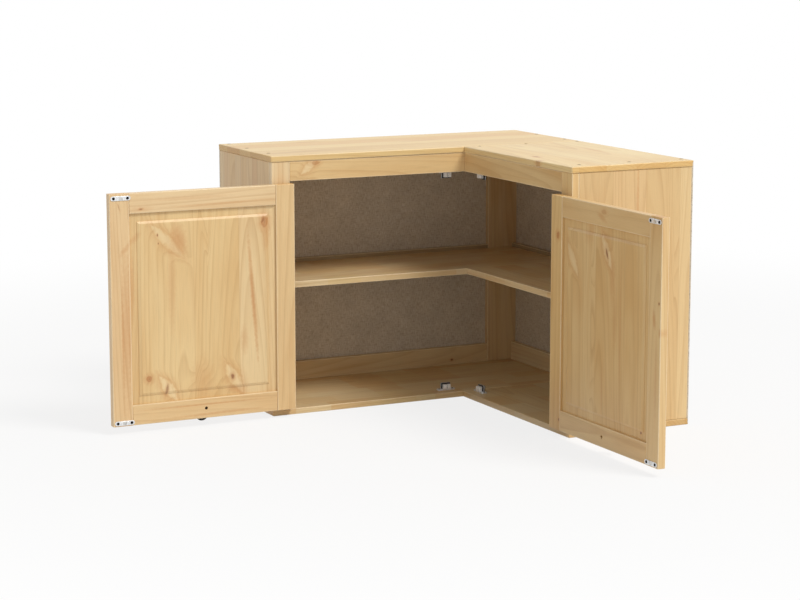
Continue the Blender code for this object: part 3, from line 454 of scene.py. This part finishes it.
    # broad warm bands follow the rings, fibres and streaks follow the grain
    slowly = addNode(tree, "ShaderNodeMath", {0: along, 1: s["bandAlong"]}, operation="MULTIPLY")
    bandPlace = addNode(tree, "ShaderNodeCombineXYZ", {0: inRings, 1: slowly, 2: lucks[0]})
    bandPlace = addNode(tree, "ShaderNodeVectorMath", {0: bandPlace, 1: s["bandScale"]}, operation="MULTIPLY")
    band = addNode(tree, "ShaderNodeTexNoise", {
        "Vector": bandPlace, "Scale": 1.0, "Detail": 2.0, "Roughness": 0.6})
    warm = board.get("warm", 1.0)
    band = addNode(tree, "ShaderNodeValToRGB", {0: band},
                   stops=[(place, warm * amount) for place, amount in s["bandSteps"]])
    fibrePlace = addNode(tree, "ShaderNodeVectorMath", {0: shifted, 1: s["fibreScale"]}, operation="MULTIPLY")
    fibre = addNode(tree, "ShaderNodeTexNoise", {
        "Vector": fibrePlace, "Scale": 1.0, "Detail": 3.0, "Roughness": 0.65})
    streakPlace = addNode(tree, "ShaderNodeVectorMath", {0: shifted, 1: s["streakScale"]},
                          operation="MULTIPLY")
    streak = addNode(tree, "ShaderNodeTexNoise", {"Vector": streakPlace, "Scale": 1.0, "Detail": 2.0})
    streak = addNode(tree, "ShaderNodeMapRange", {"Value": streak, **s["streak"]})

    wood = addNode(tree, "ShaderNodeMix", {0: band, 6: early, 7: amber}, **colourMix)
    wood = addNode(tree, "ShaderNodeMix", {0: line, 6: wood, 7: late}, **colourMix)
    wood = addNode(tree, "ShaderNodeMix", {0: streak, 6: wood, 7: amber}, **colourMix)
    fibreTone = addNode(tree, "ShaderNodeValToRGB", {0: fibre}, stops=s["fibreTone"])
    wood = addNode(tree, "ShaderNodeMix", {0: 1.0, 6: wood, 7: fibreTone}, **colourTimes)
    tone = addNode(tree, "ShaderNodeValToRGB", {0: toneLuck}, stops=tones)
    wood = addNode(tree, "ShaderNodeMix", {0: 1.0, 6: wood, 7: tone}, **colourTimes)
    if stave:
        gap = addNode(tree, "ShaderNodeMapRange", {
            "Value": seam, "From Max": s["seamWidth"] / stave, "To Min": s["seamDark"], "To Max": 0.0})
        wood = addNode(tree, "ShaderNodeMix", {0: gap, 6: wood, 7: late}, **colourMix)

    for layers, away, strength in found:
        for shade, steps in layers:
            scaled = addNode(tree, "ShaderNodeMath", {0: away, 1: 1 / s["markReach"]}, operation="MULTIPLY")
            amount = addNode(tree, "ShaderNodeValToRGB", {0: scaled}, stops=[
                (place / s["markReach"], amount * strength) for place, amount in steps])
            wood = addNode(tree, "ShaderNodeMix", {0: amount, 6: wood, 7: hexToLinear(s[shade])}, **colourMix)

    # sawn ends are darker, and long edges are rubbed paler and duller; the paler edge is also a painted
    # highlight along the arris
    facing = addNode(tree, "ShaderNodeSeparateXYZ", {0: coordinates["Normal"]}).node.outputs[letters[0]]
    facing = addNode(tree, "ShaderNodeMath", {0: facing}, operation="ABSOLUTE")
    end = addNode(tree, "ShaderNodeMapRange", {"Value": facing, **s["end"]})
    wood = addNode(tree, "ShaderNodeMix", {0: end, 6: wood, 7: hexToLinear(s["sawnEnd"])}, **colourTimes)
    corner = addNode(tree, "ShaderNodeVectorMath", {0: grain}, operation="ABSOLUTE")
    corner = addNode(tree, "ShaderNodeVectorMath", {0: (0, halfWidth, halfDepth), 1: corner},
                     operation="SUBTRACT")
    corner = addNode(tree, "ShaderNodeSeparateXYZ", {0: corner}).node.outputs
    edge = addNode(tree, "ShaderNodeMath", {0: corner[1], 1: corner[2]}, operation="MAXIMUM")
    edge = addNode(tree, "ShaderNodeMath", {0: ragged, 1: s["rubbedHighlightRagged"], 2: edge}, **timesPlus)
    rubbedAndHighlit = addNode(tree, "ShaderNodeMapRange", {"Value": edge, **s["rubbedAndHighlit"]})
    wood = addNode(tree, "ShaderNodeMix", {0: rubbedAndHighlit, 6: wood, 7: hexToLinear(s["rubbedEdgeHighlight"])}, **colourMix)
    tree.links.new(wood, shader.inputs["Base Color"])

    gloss = addNode(tree, "ShaderNodeMath", {
        0: fibre, 1: s["fibreDull"], 2: s["roughness"] - s["fibreGloss"]}, **timesPlus)
    gloss = addNode(tree, "ShaderNodeMath", {0: rubbedAndHighlit, 1: s["rubbedDull"], 2: gloss}, **timesPlus)
    tree.links.new(gloss, shader.inputs["Roughness"])
    height = addNode(tree, "ShaderNodeMath", {0: line, 1: s["lineRelief"], 2: fibre}, **timesPlus)
    bump = addNode(tree, "ShaderNodeBump", {"Height": height, **s["bump"]})
    tree.links.new(bump, shader.inputs["Normal"])
    return material


pine = {}
for index, (name, board) in enumerate(boards.items()):
    pine[name] = makePine(name, board, index, pineSettings)
    setMaterial(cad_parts[name], pine[name])
print("pine boards ready")

# Wet-pressed hardboard: matted brown fibre, with the mesh of the press in its face
hardboardSettings = {
    # the body colour is paler than brown hardboard: painted light that brightens the backs in the cupboard's
    # shaded inside
    "body": "#D0C5B3", "dark": "#A08E76", "pale": "#E6E0D4", "roughness": 0.8, "specular": 0.2,
    "fibre": (14.0, 2.2),  # mm long and wide, coarser than real so that it shows
    "fibreSteps": ((0.48, 0.0), (0.72, 0.6)),
    "mesh": 2.6,  # mm from wire to wire, drawn coarse too
    "meshRelief": 0.25,
    # darker in the mesh's hollows and paler on its ridges: painted shade and painted highlight that follow
    # the bump
    "meshShading": {"From Min": -2.0, "From Max": 2.0, "To Min": 0.9, "To Max": 1.08},  # tone
    "cloudScale": 0.02,  # per mm
    "cloud": {"To Min": 0.88, "To Max": 1.12},  # tone
    "bump": {"Strength": 0.4, "Distance": 0.1 * millimetre},
}


def makeHardboard(s):
    material, tree, shader = newMaterial("pressed hardboard", s["roughness"], specular=s["specular"])
    place = addNode(tree, "ShaderNodeTexCoord", out=3)
    place = addNode(tree, "ShaderNodeVectorMath", {0: place, "Scale": 1 / millimetre}, operation="SCALE")
    colour, height = hexToLinear(s["body"]), 0.0
    length, width = s["fibre"]
    level, upright = (1 / length, 1 / length, 1 / width), (1 / width, 1 / width, 1 / length)
    for shade, scale in (("dark", level), ("pale", upright), ("dark", [1.3 * share for share in upright])):
        pulled = addNode(tree, "ShaderNodeVectorMath", {0: place, 1: scale}, operation="MULTIPLY")
        fibre = addNode(tree, "ShaderNodeTexNoise", {"Vector": pulled, "Scale": 1.0, "Detail": 3.0})
        fibre = addNode(tree, "ShaderNodeValToRGB", {0: fibre}, stops=s["fibreSteps"])
        colour = addNode(tree, "ShaderNodeMix", {0: fibre, 6: colour, 7: hexToLinear(s[shade])}, **colourMix)
        height = addNode(tree, "ShaderNodeMath", {0: fibre, 1: height}, operation="ADD")
    turns = math.tau / s["mesh"]
    wires = addNode(tree, "ShaderNodeVectorMath", {0: place, "Scale": turns}, operation="SCALE")
    wires = addNode(tree, "ShaderNodeVectorMath", {0: wires}, operation="SINE")
    wires = addNode(tree, "ShaderNodeVectorMath", {0: wires, 1: (1, 1, 1)}, out=1, operation="DOT_PRODUCT")
    height = addNode(tree, "ShaderNodeMath", {0: wires, 1: s["meshRelief"], 2: height}, **timesPlus)
    # painted shade in the mesh's hollows and painted highlight on its ridges
    meshShading = addNode(tree, "ShaderNodeMapRange", {"Value": wires, **s["meshShading"]})
    colour = addNode(tree, "ShaderNodeMix", {0: 1.0, 6: colour, 7: meshShading}, **colourTimes)
    cloud = addNode(tree, "ShaderNodeTexNoise", {"Vector": place, "Scale": s["cloudScale"], "Detail": 2.0})
    cloud = addNode(tree, "ShaderNodeMapRange", {"Value": cloud, **s["cloud"]})
    colour = addNode(tree, "ShaderNodeMix", {0: 1.0, 6: colour, 7: cloud}, **colourTimes)
    tree.links.new(colour, shader.inputs["Base Color"])
    bump = addNode(tree, "ShaderNodeBump", {"Height": height, **s["bump"]})
    tree.links.new(bump, shader.inputs["Normal"])
    return material


hardboard = makeHardboard(hardboardSettings)
for name in ("left_back_panel", "right_back_panel"):
    setMaterial(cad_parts[name], hardboard)
print("backs ready")

# Metals and moulding: colour, the colour of its stains, roughness, and scratches per metre each way
finishes = {
    "zinc plated sheet steel": {  # silvery and half bright, rubbed along one way
        "colour": "#F1F3F5", "stain": "#D6DADD", "roughness": 0.36, "metal": 0.55, "marks": (40, 900, 40)},
    "bright rolled hinge steel": {  # a bare metal gleam, lined across the roll
        "colour": "#CFCBC3", "stain": "#A7A298", "roughness": 0.27, "metal": 1.0, "marks": (60, 60, 700)},
    # near white and hardly metal: a painted reflection of the bright room, standing in for the poles' gleam
    # in the shaded inside
    "pole steel with painted reflection": {  # almost white where the wheel left it
        "colour": "#FFFFFD", "stain": "#F2F2EF", "roughness": 0.3, "metal": 0.1, "marks": (90, 90, 900)},
    "black oxide screw steel": {  # near black with a metal glint
        "colour": "#24211F", "stain": "#131110", "roughness": 0.42, "metal": 0.8, "marks": (300, 300, 300)},
    "grey zinc screw steel": {  # dull dark grey
        "colour": "#4A4840", "stain": "#2E2C27", "roughness": 0.6, "metal": 0.3, "marks": (300, 300, 300)},
    "black lacquered iron": {  # black with a soft gloss
        "colour": "#0F0F0F", "stain": "#1C1A19", "roughness": 0.5, "metal": 0.0, "marks": (160, 160, 160)},
    "moulded dark nylon": {  # brownish black, finely grained by the mould
        "colour": "#2A2725", "stain": "#393532", "roughness": 0.5, "metal": 0.0, "marks": (500, 500, 500)},
}
wearSettings = {
    "cloudScale": 180.0,  # per metre
    "stainSteps": ((0.42, 0.0), (0.7, 1.0)),
    "scratchScale": 6.0,
    "glossier": 0.12,
    "duller": 0.16,
    "bump": {"Strength": 0.2, "Distance": 0.02 * millimetre},
}


def makeFinish(name, s, wear):  # uneven tone, faint scratches and handling marks
    material, tree, shader = newMaterial(name, s["roughness"], s["metal"])
    place = addNode(tree, "ShaderNodeTexCoord", out=3)
    cloud = addNode(tree, "ShaderNodeTexNoise", {"Vector": place, "Scale": wear["cloudScale"], "Detail": 3.0})
    stain = addNode(tree, "ShaderNodeValToRGB", {0: cloud}, stops=wear["stainSteps"])
    colour = addNode(tree, "ShaderNodeMix", {
        0: stain, 6: hexToLinear(s["colour"]), 7: hexToLinear(s["stain"])}, **colourMix)
    tree.links.new(colour, shader.inputs["Base Color"])
    drawn = addNode(tree, "ShaderNodeMapping", {"Vector": place, "Scale": s["marks"]})
    scratch = addNode(tree, "ShaderNodeTexNoise", {
        "Vector": drawn, "Scale": wear["scratchScale"], "Detail": 3.0})
    least, most = s["roughness"] - wear["glossier"], s["roughness"] + wear["duller"]
    gloss = addNode(tree, "ShaderNodeMapRange", {"Value": scratch, "To Min": least, "To Max": most})
    tree.links.new(gloss, shader.inputs["Roughness"])
    bump = addNode(tree, "ShaderNodeBump", {"Height": scratch, **wear["bump"]})
    tree.links.new(bump, shader.inputs["Normal"])
    return material


zinc, hingeSteel, poleReflectionSteel, blackScrew, greyScrew, blackIron, nylon = (
    makeFinish(name, s, wearSettings) for name, s in finishes.items())
for wing in wingAxes:
    for level in ("upper", "lower"):
        for piece in ("frame_leaf", "door_leaf", "pin"):
            setMaterial(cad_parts[f"{wing}_{level}_hinge_{piece}"], hingeSteel)
print("finishes ready")


# Shapes are made in mm and set in place by a matrix
def inWing(wing):
    return Matrix.Translation((wall, wall, 0)) @ Matrix(wingAxes[wing]).to_4x4() @ toMetres


def setAt(place, turn, axis):  # degrees about the axis, then moved to the place
    return Matrix.Translation(place) @ Matrix.Rotation(math.radians(turn), 4, axis)


def readShape(node):  # a node's solid, in mm
    shape = bmesh.new()
    shape.from_mesh(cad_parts[node].data)
    shape.transform(Matrix.Scale(1 / millimetre, 4))
    bmesh.ops.remove_doubles(shape, verts=shape.verts, dist=weld)
    return shape


def roundEdges(shape, edges, radius, segments=4):
    bmesh.ops.bevel(shape, geom=list(edges), offset=radius, segments=segments, profile=0.5, affect="EDGES",
                    material=-1)


def addBlock(shape, low, high, radius=0.0, material=0, upright=False):
    low, high = Vector(low), Vector(high)
    place = Matrix.Translation((low + high) / 2) @ Matrix.Diagonal((*(high - low), 1))
    verts = bmesh.ops.create_cube(shape, size=1, matrix=place)["verts"]
    for face in {face for vert in verts for face in vert.link_faces}:
        face.material_index = material
    edges = {edge for vert in verts for edge in vert.link_edges}
    if upright:  # only the edges that stand on end
        edges = {e for e in edges if abs((e.verts[0].co - e.verts[1].co).normalized().z) > 0.9}
    if radius:
        roundEdges(shape, edges, radius)


def turned(profile, steps=32):  # radius and height from the profile, turned about Z
    shape = bmesh.new()
    points = [shape.verts.new((radius, 0, height)) for radius, height in profile]
    outline = [shape.edges.new(pair) for pair in zip(points, points[1:])]
    bmesh.ops.spin(shape, geom=points + outline, axis=(0, 0, 1), angle=math.tau, steps=steps, use_merge=True)
    bmesh.ops.remove_doubles(shape, verts=shape.verts, dist=weld)
    return shape


def turnedRing(radius, wide, deep, turn, steps):  # an oval section, drawn every so many degrees
    section = [(math.cos(math.radians(a)), math.sin(math.radians(a))) for a in range(0, 360, turn)]
    return turned([(radius + wide * x, deep * y) for x, y in section + section[:1]], steps)


def addShape(shape, part, place):  # a copy of the part, set in place
    mesh = bpy.data.meshes.new("part")
    copy = part.copy()
    copy.transform(place)
    copy.to_mesh(mesh)
    copy.free()
    shape.from_mesh(mesh)
    bpy.data.meshes.remove(mesh)


def cutAway(shape, cutter):  # the first shape without the second
    things = []
    for part in (shape, cutter):
        mesh = bpy.data.meshes.new("cut")
        bmesh.ops.recalc_face_normals(part, faces=part.faces)
        part.to_mesh(mesh)
        part.free()
        things.append(addThing("cut", mesh))
    modifier = things[0].modifiers.new("cut", "BOOLEAN")
    modifier.solver = "EXACT"
    modifier.object = things[1]
    result = bmesh.new()
    result.from_object(things[0], bpy.context.evaluated_depsgraph_get())
    for thing in things:
        bpy.data.meshes.remove(thing.data)
    return result


def makePiece(name, shape, place, materials, body, nodes=(), squared=False, crease=35):
    # squared: level faces stay flat; crease: degrees from which an edge looks sharp
    shape.transform(place)
    bmesh.ops.remove_doubles(shape, verts=shape.verts, dist=weld * millimetre)
    bmesh.ops.recalc_face_normals(shape, faces=shape.faces)
    mesh = bpy.data.meshes.new(name)
    for material in materials:
        mesh.materials.append(material)
    shape.to_mesh(mesh)
    shape.free()
    mesh.shade_smooth()
    mesh.set_sharp_from_angle(angle=math.radians(crease))
    for face in mesh.polygons:
        face.use_smooth = not squared or max(map(abs, face.normal)) < 0.9999
    thing = addThing(name, mesh)
    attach(thing, body)
    if nodes:
        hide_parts(*nodes)


# raised panels, alike on both faces: a tongue in the groove, a level margin, a step that starts with an
# upright quirk and goes on as a bevel with a softened brow, and the flat field
panelSettings = {
    "tongue": 6.0, "tongueReach": 8.0, "field": 14.0, "margin": 25.0,
    "quirk": 1.0, "quirkLean": 0.15, "bevelRise": 2.8, "bevelRun": 6.4, "brow": 1.4,
    "bevelShare": 0.86,  # of the rise, up to the brow
    "browSteps": ((0.4, 0.09), (0.3, 0.04), (0.3, 0.01)),  # shares of the brow's run and of the whole rise
    "crease": 25,  # keeps the bevels' mitres crisp
}


def makePanel(wing, s):
    node = f"{wing}_door_panel"
    low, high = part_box(node)
    size = (high - low) / millimetre
    thin = 1 if wing == "left" else 0
    size[thin] = s["tongue"]
    shape = bmesh.new()
    bmesh.ops.create_cube(shape, size=1, matrix=Matrix.Diagonal((*size, 1)))
    shape.normal_update()
    faces = [face for face in shape.faces if abs(face.normal[thin]) > 0.5]
    rise = (s["field"] - s["tongue"]) / 2
    straight = 1 - s["brow"] / s["bevelRun"]
    steps = [(straight, s["bevelShare"])] + [(run * (1 - straight), up) for run, up in s["browSteps"]]
    insets = [
        (s["tongueReach"], 0),
        (s["margin"] - s["bevelRun"] - s["quirkLean"], rise - s["bevelRise"] - s["quirk"]),
        (s["quirkLean"], s["quirk"]),
    ] + [(s["bevelRun"] * run, s["bevelRise"] * up) for run, up in steps]
    for thickness, depth in insets:
        bmesh.ops.inset_individual(shape, faces=faces, thickness=thickness, depth=depth, use_even_offset=True)
    place = Matrix.Translation((low + high) / 2) @ toMetres
    makePiece(f"{wing}_raised_panel", shape, place, [pine[node]], f"{wing}_door", [node],
              squared=True, crease=s["crease"])


for wing in wingAxes:
    makePanel(wing, panelSettings)
print("panels ready")

# door frames with rounded long edges, which catch the light
easedSettings = {"hinge_stile": 1.0, "free_stile": 1.0, "top_rail": 2.0, "bottom_rail": 2.0}


def makeEased(wing, part, width):
    node = f"{wing}_door_{part}"
    low, high = (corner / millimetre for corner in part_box(node))
    run = "XYZ".index(boards[node]["axes"][0])
    shape = readShape(node)
    bmesh.ops.dissolve_limit(shape, angle_limit=math.radians(0.5), verts=shape.verts, edges=shape.edges)
    edges = [edge for edge in shape.edges if all(
        min(vert.co[axis] - low[axis], high[axis] - vert.co[axis]) < 0.01
        for vert in edge.verts for axis in range(3) if axis != run)]
    roundEdges(shape, [edge for edge in edges if edge.calc_length() > 2 * width], width)
    makePiece(f"{node}_eased", shape, toMetres, [pine[node]], f"{wing}_door", [node], squared=True)


for wing in wingAxes:
    for part, width in easedSettings.items():
        makeEased(wing, part, width)
print("door frames ready")

# top boards, with shallow seats for the heads of the screws that hold the carcass together
topSettings = {
    "seatRadius": 5.2, "seatDepth": 1.2, "headBelow": 0.1, "top": 600.0,
    "screws": {  # places in the row frame, mm
        "top_board_left": [(-628, 146.7), (-628, 38), (-628, -89), (146.7, 31), (146.7, -105)],
        "top_board_right": [(146.7, -164), (5, -164), (-120, -164), (146.7, -615), (10, -615), (-118, -615)],
    },
    "turn": 37,  # degrees from one screw's cross to the next
}


def makeTop(node, s):
    seats = bmesh.new()
    for place in s["screws"][node]:
        bmesh.ops.create_cone(seats, cap_ends=True, segments=24, radius1=s["seatRadius"],
                              radius2=s["seatRadius"], depth=2 * s["seatDepth"],
                              matrix=Matrix.Translation((*place, s["top"])))
    shape = cutAway(readShape(node), seats)
    makePiece(node + "_seated", shape, toMetres, [pine[node]], "carcass", [node], squared=True)


for node in topSettings["screws"]:
    makeTop(node, topSettings)
print("top ready")

# screws: turned heads with a cross recess
screwSettings = {
    # radius and height of the heads
    "heads": {"top": (4.7, 0.8), "strike": (3.3, 1.1), "small": (2.3, 0.7), "pull": (3.2, 2.0)},
    "dome": ((0, 1.0), (0.4, 0.98), (0.7, 0.88), (0.9, 0.66), (1.0, 0.34), (1.0, 0.0), (0, 0)),
    "cross": (0.58, 0.13),  # half length and half width of a bar, in shares of the radius
    "crossFrom": 0.3,  # its floor, in shares of the height
}


def makeHead(radius, height, s):
    head = turned([(radius * across, height * up) for across, up in s["dome"]])
    long, narrow = s["cross"]
    for wide, deep in ((long * radius, narrow * radius), (narrow * radius, long * radius)):
        bar = bmesh.new()
        addBlock(bar, (-wide, -deep, s["crossFrom"] * height), (wide, deep, 1.5 * height))
        head = cutAway(head, bar)
    return head


heads = {name: makeHead(*size, screwSettings) for name, size in screwSettings["heads"].items()}


def addScrew(shape, head, place, facing, turn):  # the head's foot stands at the place
    aim = Vector(facing).to_track_quat("Z", "Y").to_matrix().to_4x4()
    spun = Matrix.Rotation(math.radians(turn), 4, "Z")
    addShape(shape, heads[head], Matrix.Translation(place) @ aim @ spun)


def makeTopScrews(s):
    screws = bmesh.new()
    foot = s["top"] - s["headBelow"] - screwSettings["heads"]["top"][1]
    for i, place in enumerate(sum(s["screws"].values(), [])):
        addScrew(screws, "top", (*place, foot), (0, 0, 1), s["turn"] * i)
    makePiece("top_screws", screws, toMetres, [greyScrew], "carcass")


makeTopScrews(topSettings)

# strike plates: stamped zinc with round ends, a raised pad that meets the magnet, and ribs on the pad
strikeSettings = {
    "along": 1176.0, "face": 337.3, "up": {"lower": 26.0, "upper": 527.5},
    "half": (23.25, 5.1), "thick": 1.0, "corner": 4.9, "rim": 0.3,
    "pad": (10.0, 4.4), "padRise": 1.5, "padEdge": 0.6, "ribs": (-3.2, 0.0, 3.2),
    "ribHalf": 0.9, "ribShort": 1.0, "ribDeep": 0.5, "ribProud": 0.1, "ribEdge": 0.25,
    "screwAt": 16.15, "screwSunk": 0.1, "turns": {-1: -15, 1: 65},
}


def makeStrikes(wing, s):
    place = inWing(wing)
    screws = bmesh.new()
    half, tall = s["half"]
    wide, high = s["pad"]
    for level, up in s["up"].items():
        shape = bmesh.new()
        addBlock(shape, (-half, -tall, 0), (half, tall, s["thick"]), radius=s["corner"], upright=True)
        rim = [edge for edge in shape.edges if min(v.co.z for v in edge.verts) > s["thick"] - 0.01]
        roundEdges(shape, rim, s["rim"], segments=2)
        addBlock(shape, (-wide, -high, 0.1), (wide, high, s["padRise"]), radius=s["padEdge"])
        for rib in s["ribs"]:
            addBlock(shape, (rib - s["ribHalf"], -high + s["ribShort"], s["padRise"] - s["ribDeep"]),
                     (rib + s["ribHalf"], high - s["ribShort"], s["padRise"] + s["ribProud"]),
                     radius=s["ribEdge"], material=1)
        shape.transform(setAt((s["along"], s["face"], up), -90, "X"))
        makePiece(f"{wing}_{level}_strike", shape, place, [zinc, hingeSteel], f"{wing}_door",
                  [f"{wing}_{level}_strike_plate"], squared=True)
        for side, turn in s["turns"].items():
            spot = (s["along"] + side * s["screwAt"], s["face"] + s["thick"] - s["screwSunk"], up)
            addScrew(screws, "strike", spot, (0, 1, 0), turn)
    makePiece(f"{wing}_strike_screws", screws, place, [blackScrew], f"{wing}_door")


# magnetic catches: a nylon case in a zinc band with two ears, and two steel poles with dark nylon between
catchSettings = {
    "along": 344.8, "foot": {"lower": 14.3, "upper": 540.7}, "out": (276.7, 290.7), "front": 291.7,
    "housing": 11.8, "housingDeep": 7.6, "height": 16.5, "caseEdge": 1.2, "band": (2.6, 4.4), "sheet": 0.4,
    "ear": 23.0, "earThick": 3.0, "earCorner": 4.0,
    "pole": (4.9, 4.0, 5.5),  # half way from pole to pole, half width, half height
    "poleEdge": 0.5, "poleRoot": 1.0, "fillBack": 0.6,
    "screwAt": 17.6, "screwSunk": 0.1, "turns": {-1: -20, 1: 80},
}


def makeCatches(wing, s):
    place = inWing(wing)
    screws = bmesh.new()
    near, far = s["out"]
    half, tall, sheet = s["housing"], s["height"], s["sheet"]
    start, end = s["band"]
    middle, wide, high = s["pole"]
    deep = near + s["housingDeep"]
    root, front = deep - s["poleRoot"], far - s["fillBack"]
    reach, low, top = middle + wide, tall / 2 - high, tall / 2 + high
    for level, foot in s["foot"].items():
        shape = bmesh.new()
        addBlock(shape, (-half, near, sheet), (half, deep, tall), radius=s["caseEdge"], material=1)
        addBlock(shape, (-half - sheet, near + start, sheet), (half + sheet, near + end, tall + sheet),
                 radius=sheet)
        addBlock(shape, (-s["ear"], near, 0), (s["ear"], far, s["earThick"]), radius=s["earCorner"],
                 upright=True)
        addBlock(shape, (-reach + sheet, root, low + sheet), (reach - sheet, front, top - sheet),
                 radius=sheet, material=1)
        for side in (-1, 1):
            addBlock(shape, (side * middle - wide, root, low), (side * middle + wide, s["front"], top),
                     radius=s["poleEdge"], material=2)
        turn = Matrix() if level == "lower" else Matrix.Rotation(math.pi, 4, "Y")
        stand = Matrix.Translation((s["along"], 0, foot)) @ turn
        shape.transform(stand)
        makePiece(f"{wing}_{level}_magnet_catch", shape, place, [zinc, nylon, poleReflectionSteel], "carcass",
                  [f"{wing}_{level}_catch"], squared=True)
        for side, angle in s["turns"].items():
            spot = stand @ Vector((side * s["screwAt"], (near + far) / 2, s["earThick"] - s["screwSunk"]))
            addScrew(screws, "small", spot, turn @ Vector((0, 0, 1)), angle)
    makePiece(f"{wing}_catch_screws", screws, place, [blackScrew], "carcass")


# hinge screws, in the countersinks of both leaves
hingeSettings = {
    "along": 761.6, "out": {"carcass": 304.7, "door": 326.3}, "up": (78.5, 108.5, 447.5, 477.5),
    "turn": (20, 35),
}


def makeHingeScrews(wing, s):
    first, step = s["turn"]
    for leaf, out in s["out"].items():
        screws = bmesh.new()
        for i, up in enumerate(s["up"]):
            addScrew(screws, "small", (s["along"], out, up), (-1, 0, 0), first + step * i)
        body = "carcass" if leaf == "carcass" else f"{wing}_door"
        makePiece(f"{wing}_{leaf}_hinge_screws", screws, inWing(wing), [hingeSteel], body)


# pulls: a cast rosette with an eye, a ring that hangs in it, and the screw from inside
pullSettings = {
    "along": 981.5, "back": 318.7, "up": 41.25,
    "rosette": ((0, 5.0), (3, 4.9), (6, 4.4), (8.4, 3.5), (9.6, 2.7), (10.2, 2.2), (10.8, 2.1), (11.6, 2.5),
                (12.6, 2.6), (13.4, 2.2), (13.9, 1.4), (14.0, 0.6), (14.0, 0.0), (0, 0)),
    "eye": (308.0, 34.75), "eyeRing": (3.7, 0.9, 1.7),  # radius, half width and half depth of its section
    "neck": ((-1.5, 3.3, -2.6), (1.5, -3.0, 3.2)),  # corners: from the eye, and from the rosette's back
    "neckEdge": 0.9,
    "ring": 12.7, "wire": 2.45,
    "seat": 332.3, "shank": 2.0, "shankTip": 0.5, "shankFrom": 315.2, "turn": 15,
}


def makePull(wing, s):
    place = inWing(wing)
    along, back = s["along"], s["back"]
    out, up = s["eye"]
    (left, before, under), (right, behind, over) = s["neck"]
    shape = bmesh.new()
    addShape(shape, turned(s["rosette"], 64), setAt((along, back, s["up"]), 90, "X"))
    addShape(shape, turnedRing(*s["eyeRing"], 30, 40), setAt((along, out, up), 90, "Y"))
    addBlock(shape, (along + left, out + before, up + under), (along + right, back + behind, up + over),
             radius=s["neckEdge"])
    makePiece(f"{wing}_rosette", shape, place, [blackIron], f"{wing}_door",
              [f"{wing}_pull_plate"])
    shape = bmesh.new()
    ring = turnedRing(s["ring"], s["wire"], s["wire"], 20, 72)
    addShape(shape, ring, setAt((along, out, up - s["ring"]), 90, "X"))
    makePiece(f"{wing}_ring_pull", shape, place, [blackIron], f"{wing}_ring",
              [f"{wing}_pull_ring"])
    shape = bmesh.new()
    addScrew(shape, "pull", (along, s["seat"], s["up"]), (0, 1, 0), s["turn"])
    radius, tip, length = s["shank"], s["shankTip"], s["seat"] - s["shankFrom"]
    shank = turned([(0, 0), (radius - tip, 0), (radius, tip), (radius, length), (0, length)], 20)
    addShape(shape, shank, setAt((along, s["shankFrom"], s["up"]), -90, "X"))
    makePiece(f"{wing}_pull_bolt", shape, place, [blackScrew], f"{wing}_door",
              [f"{wing}_pull_screw"])


for wing in wingAxes:
    makeStrikes(wing, strikeSettings)
    makeCatches(wing, catchSettings)
    makeHingeScrews(wing, hingeSettings)
    makePull(wing, pullSettings)
print("hardware ready")
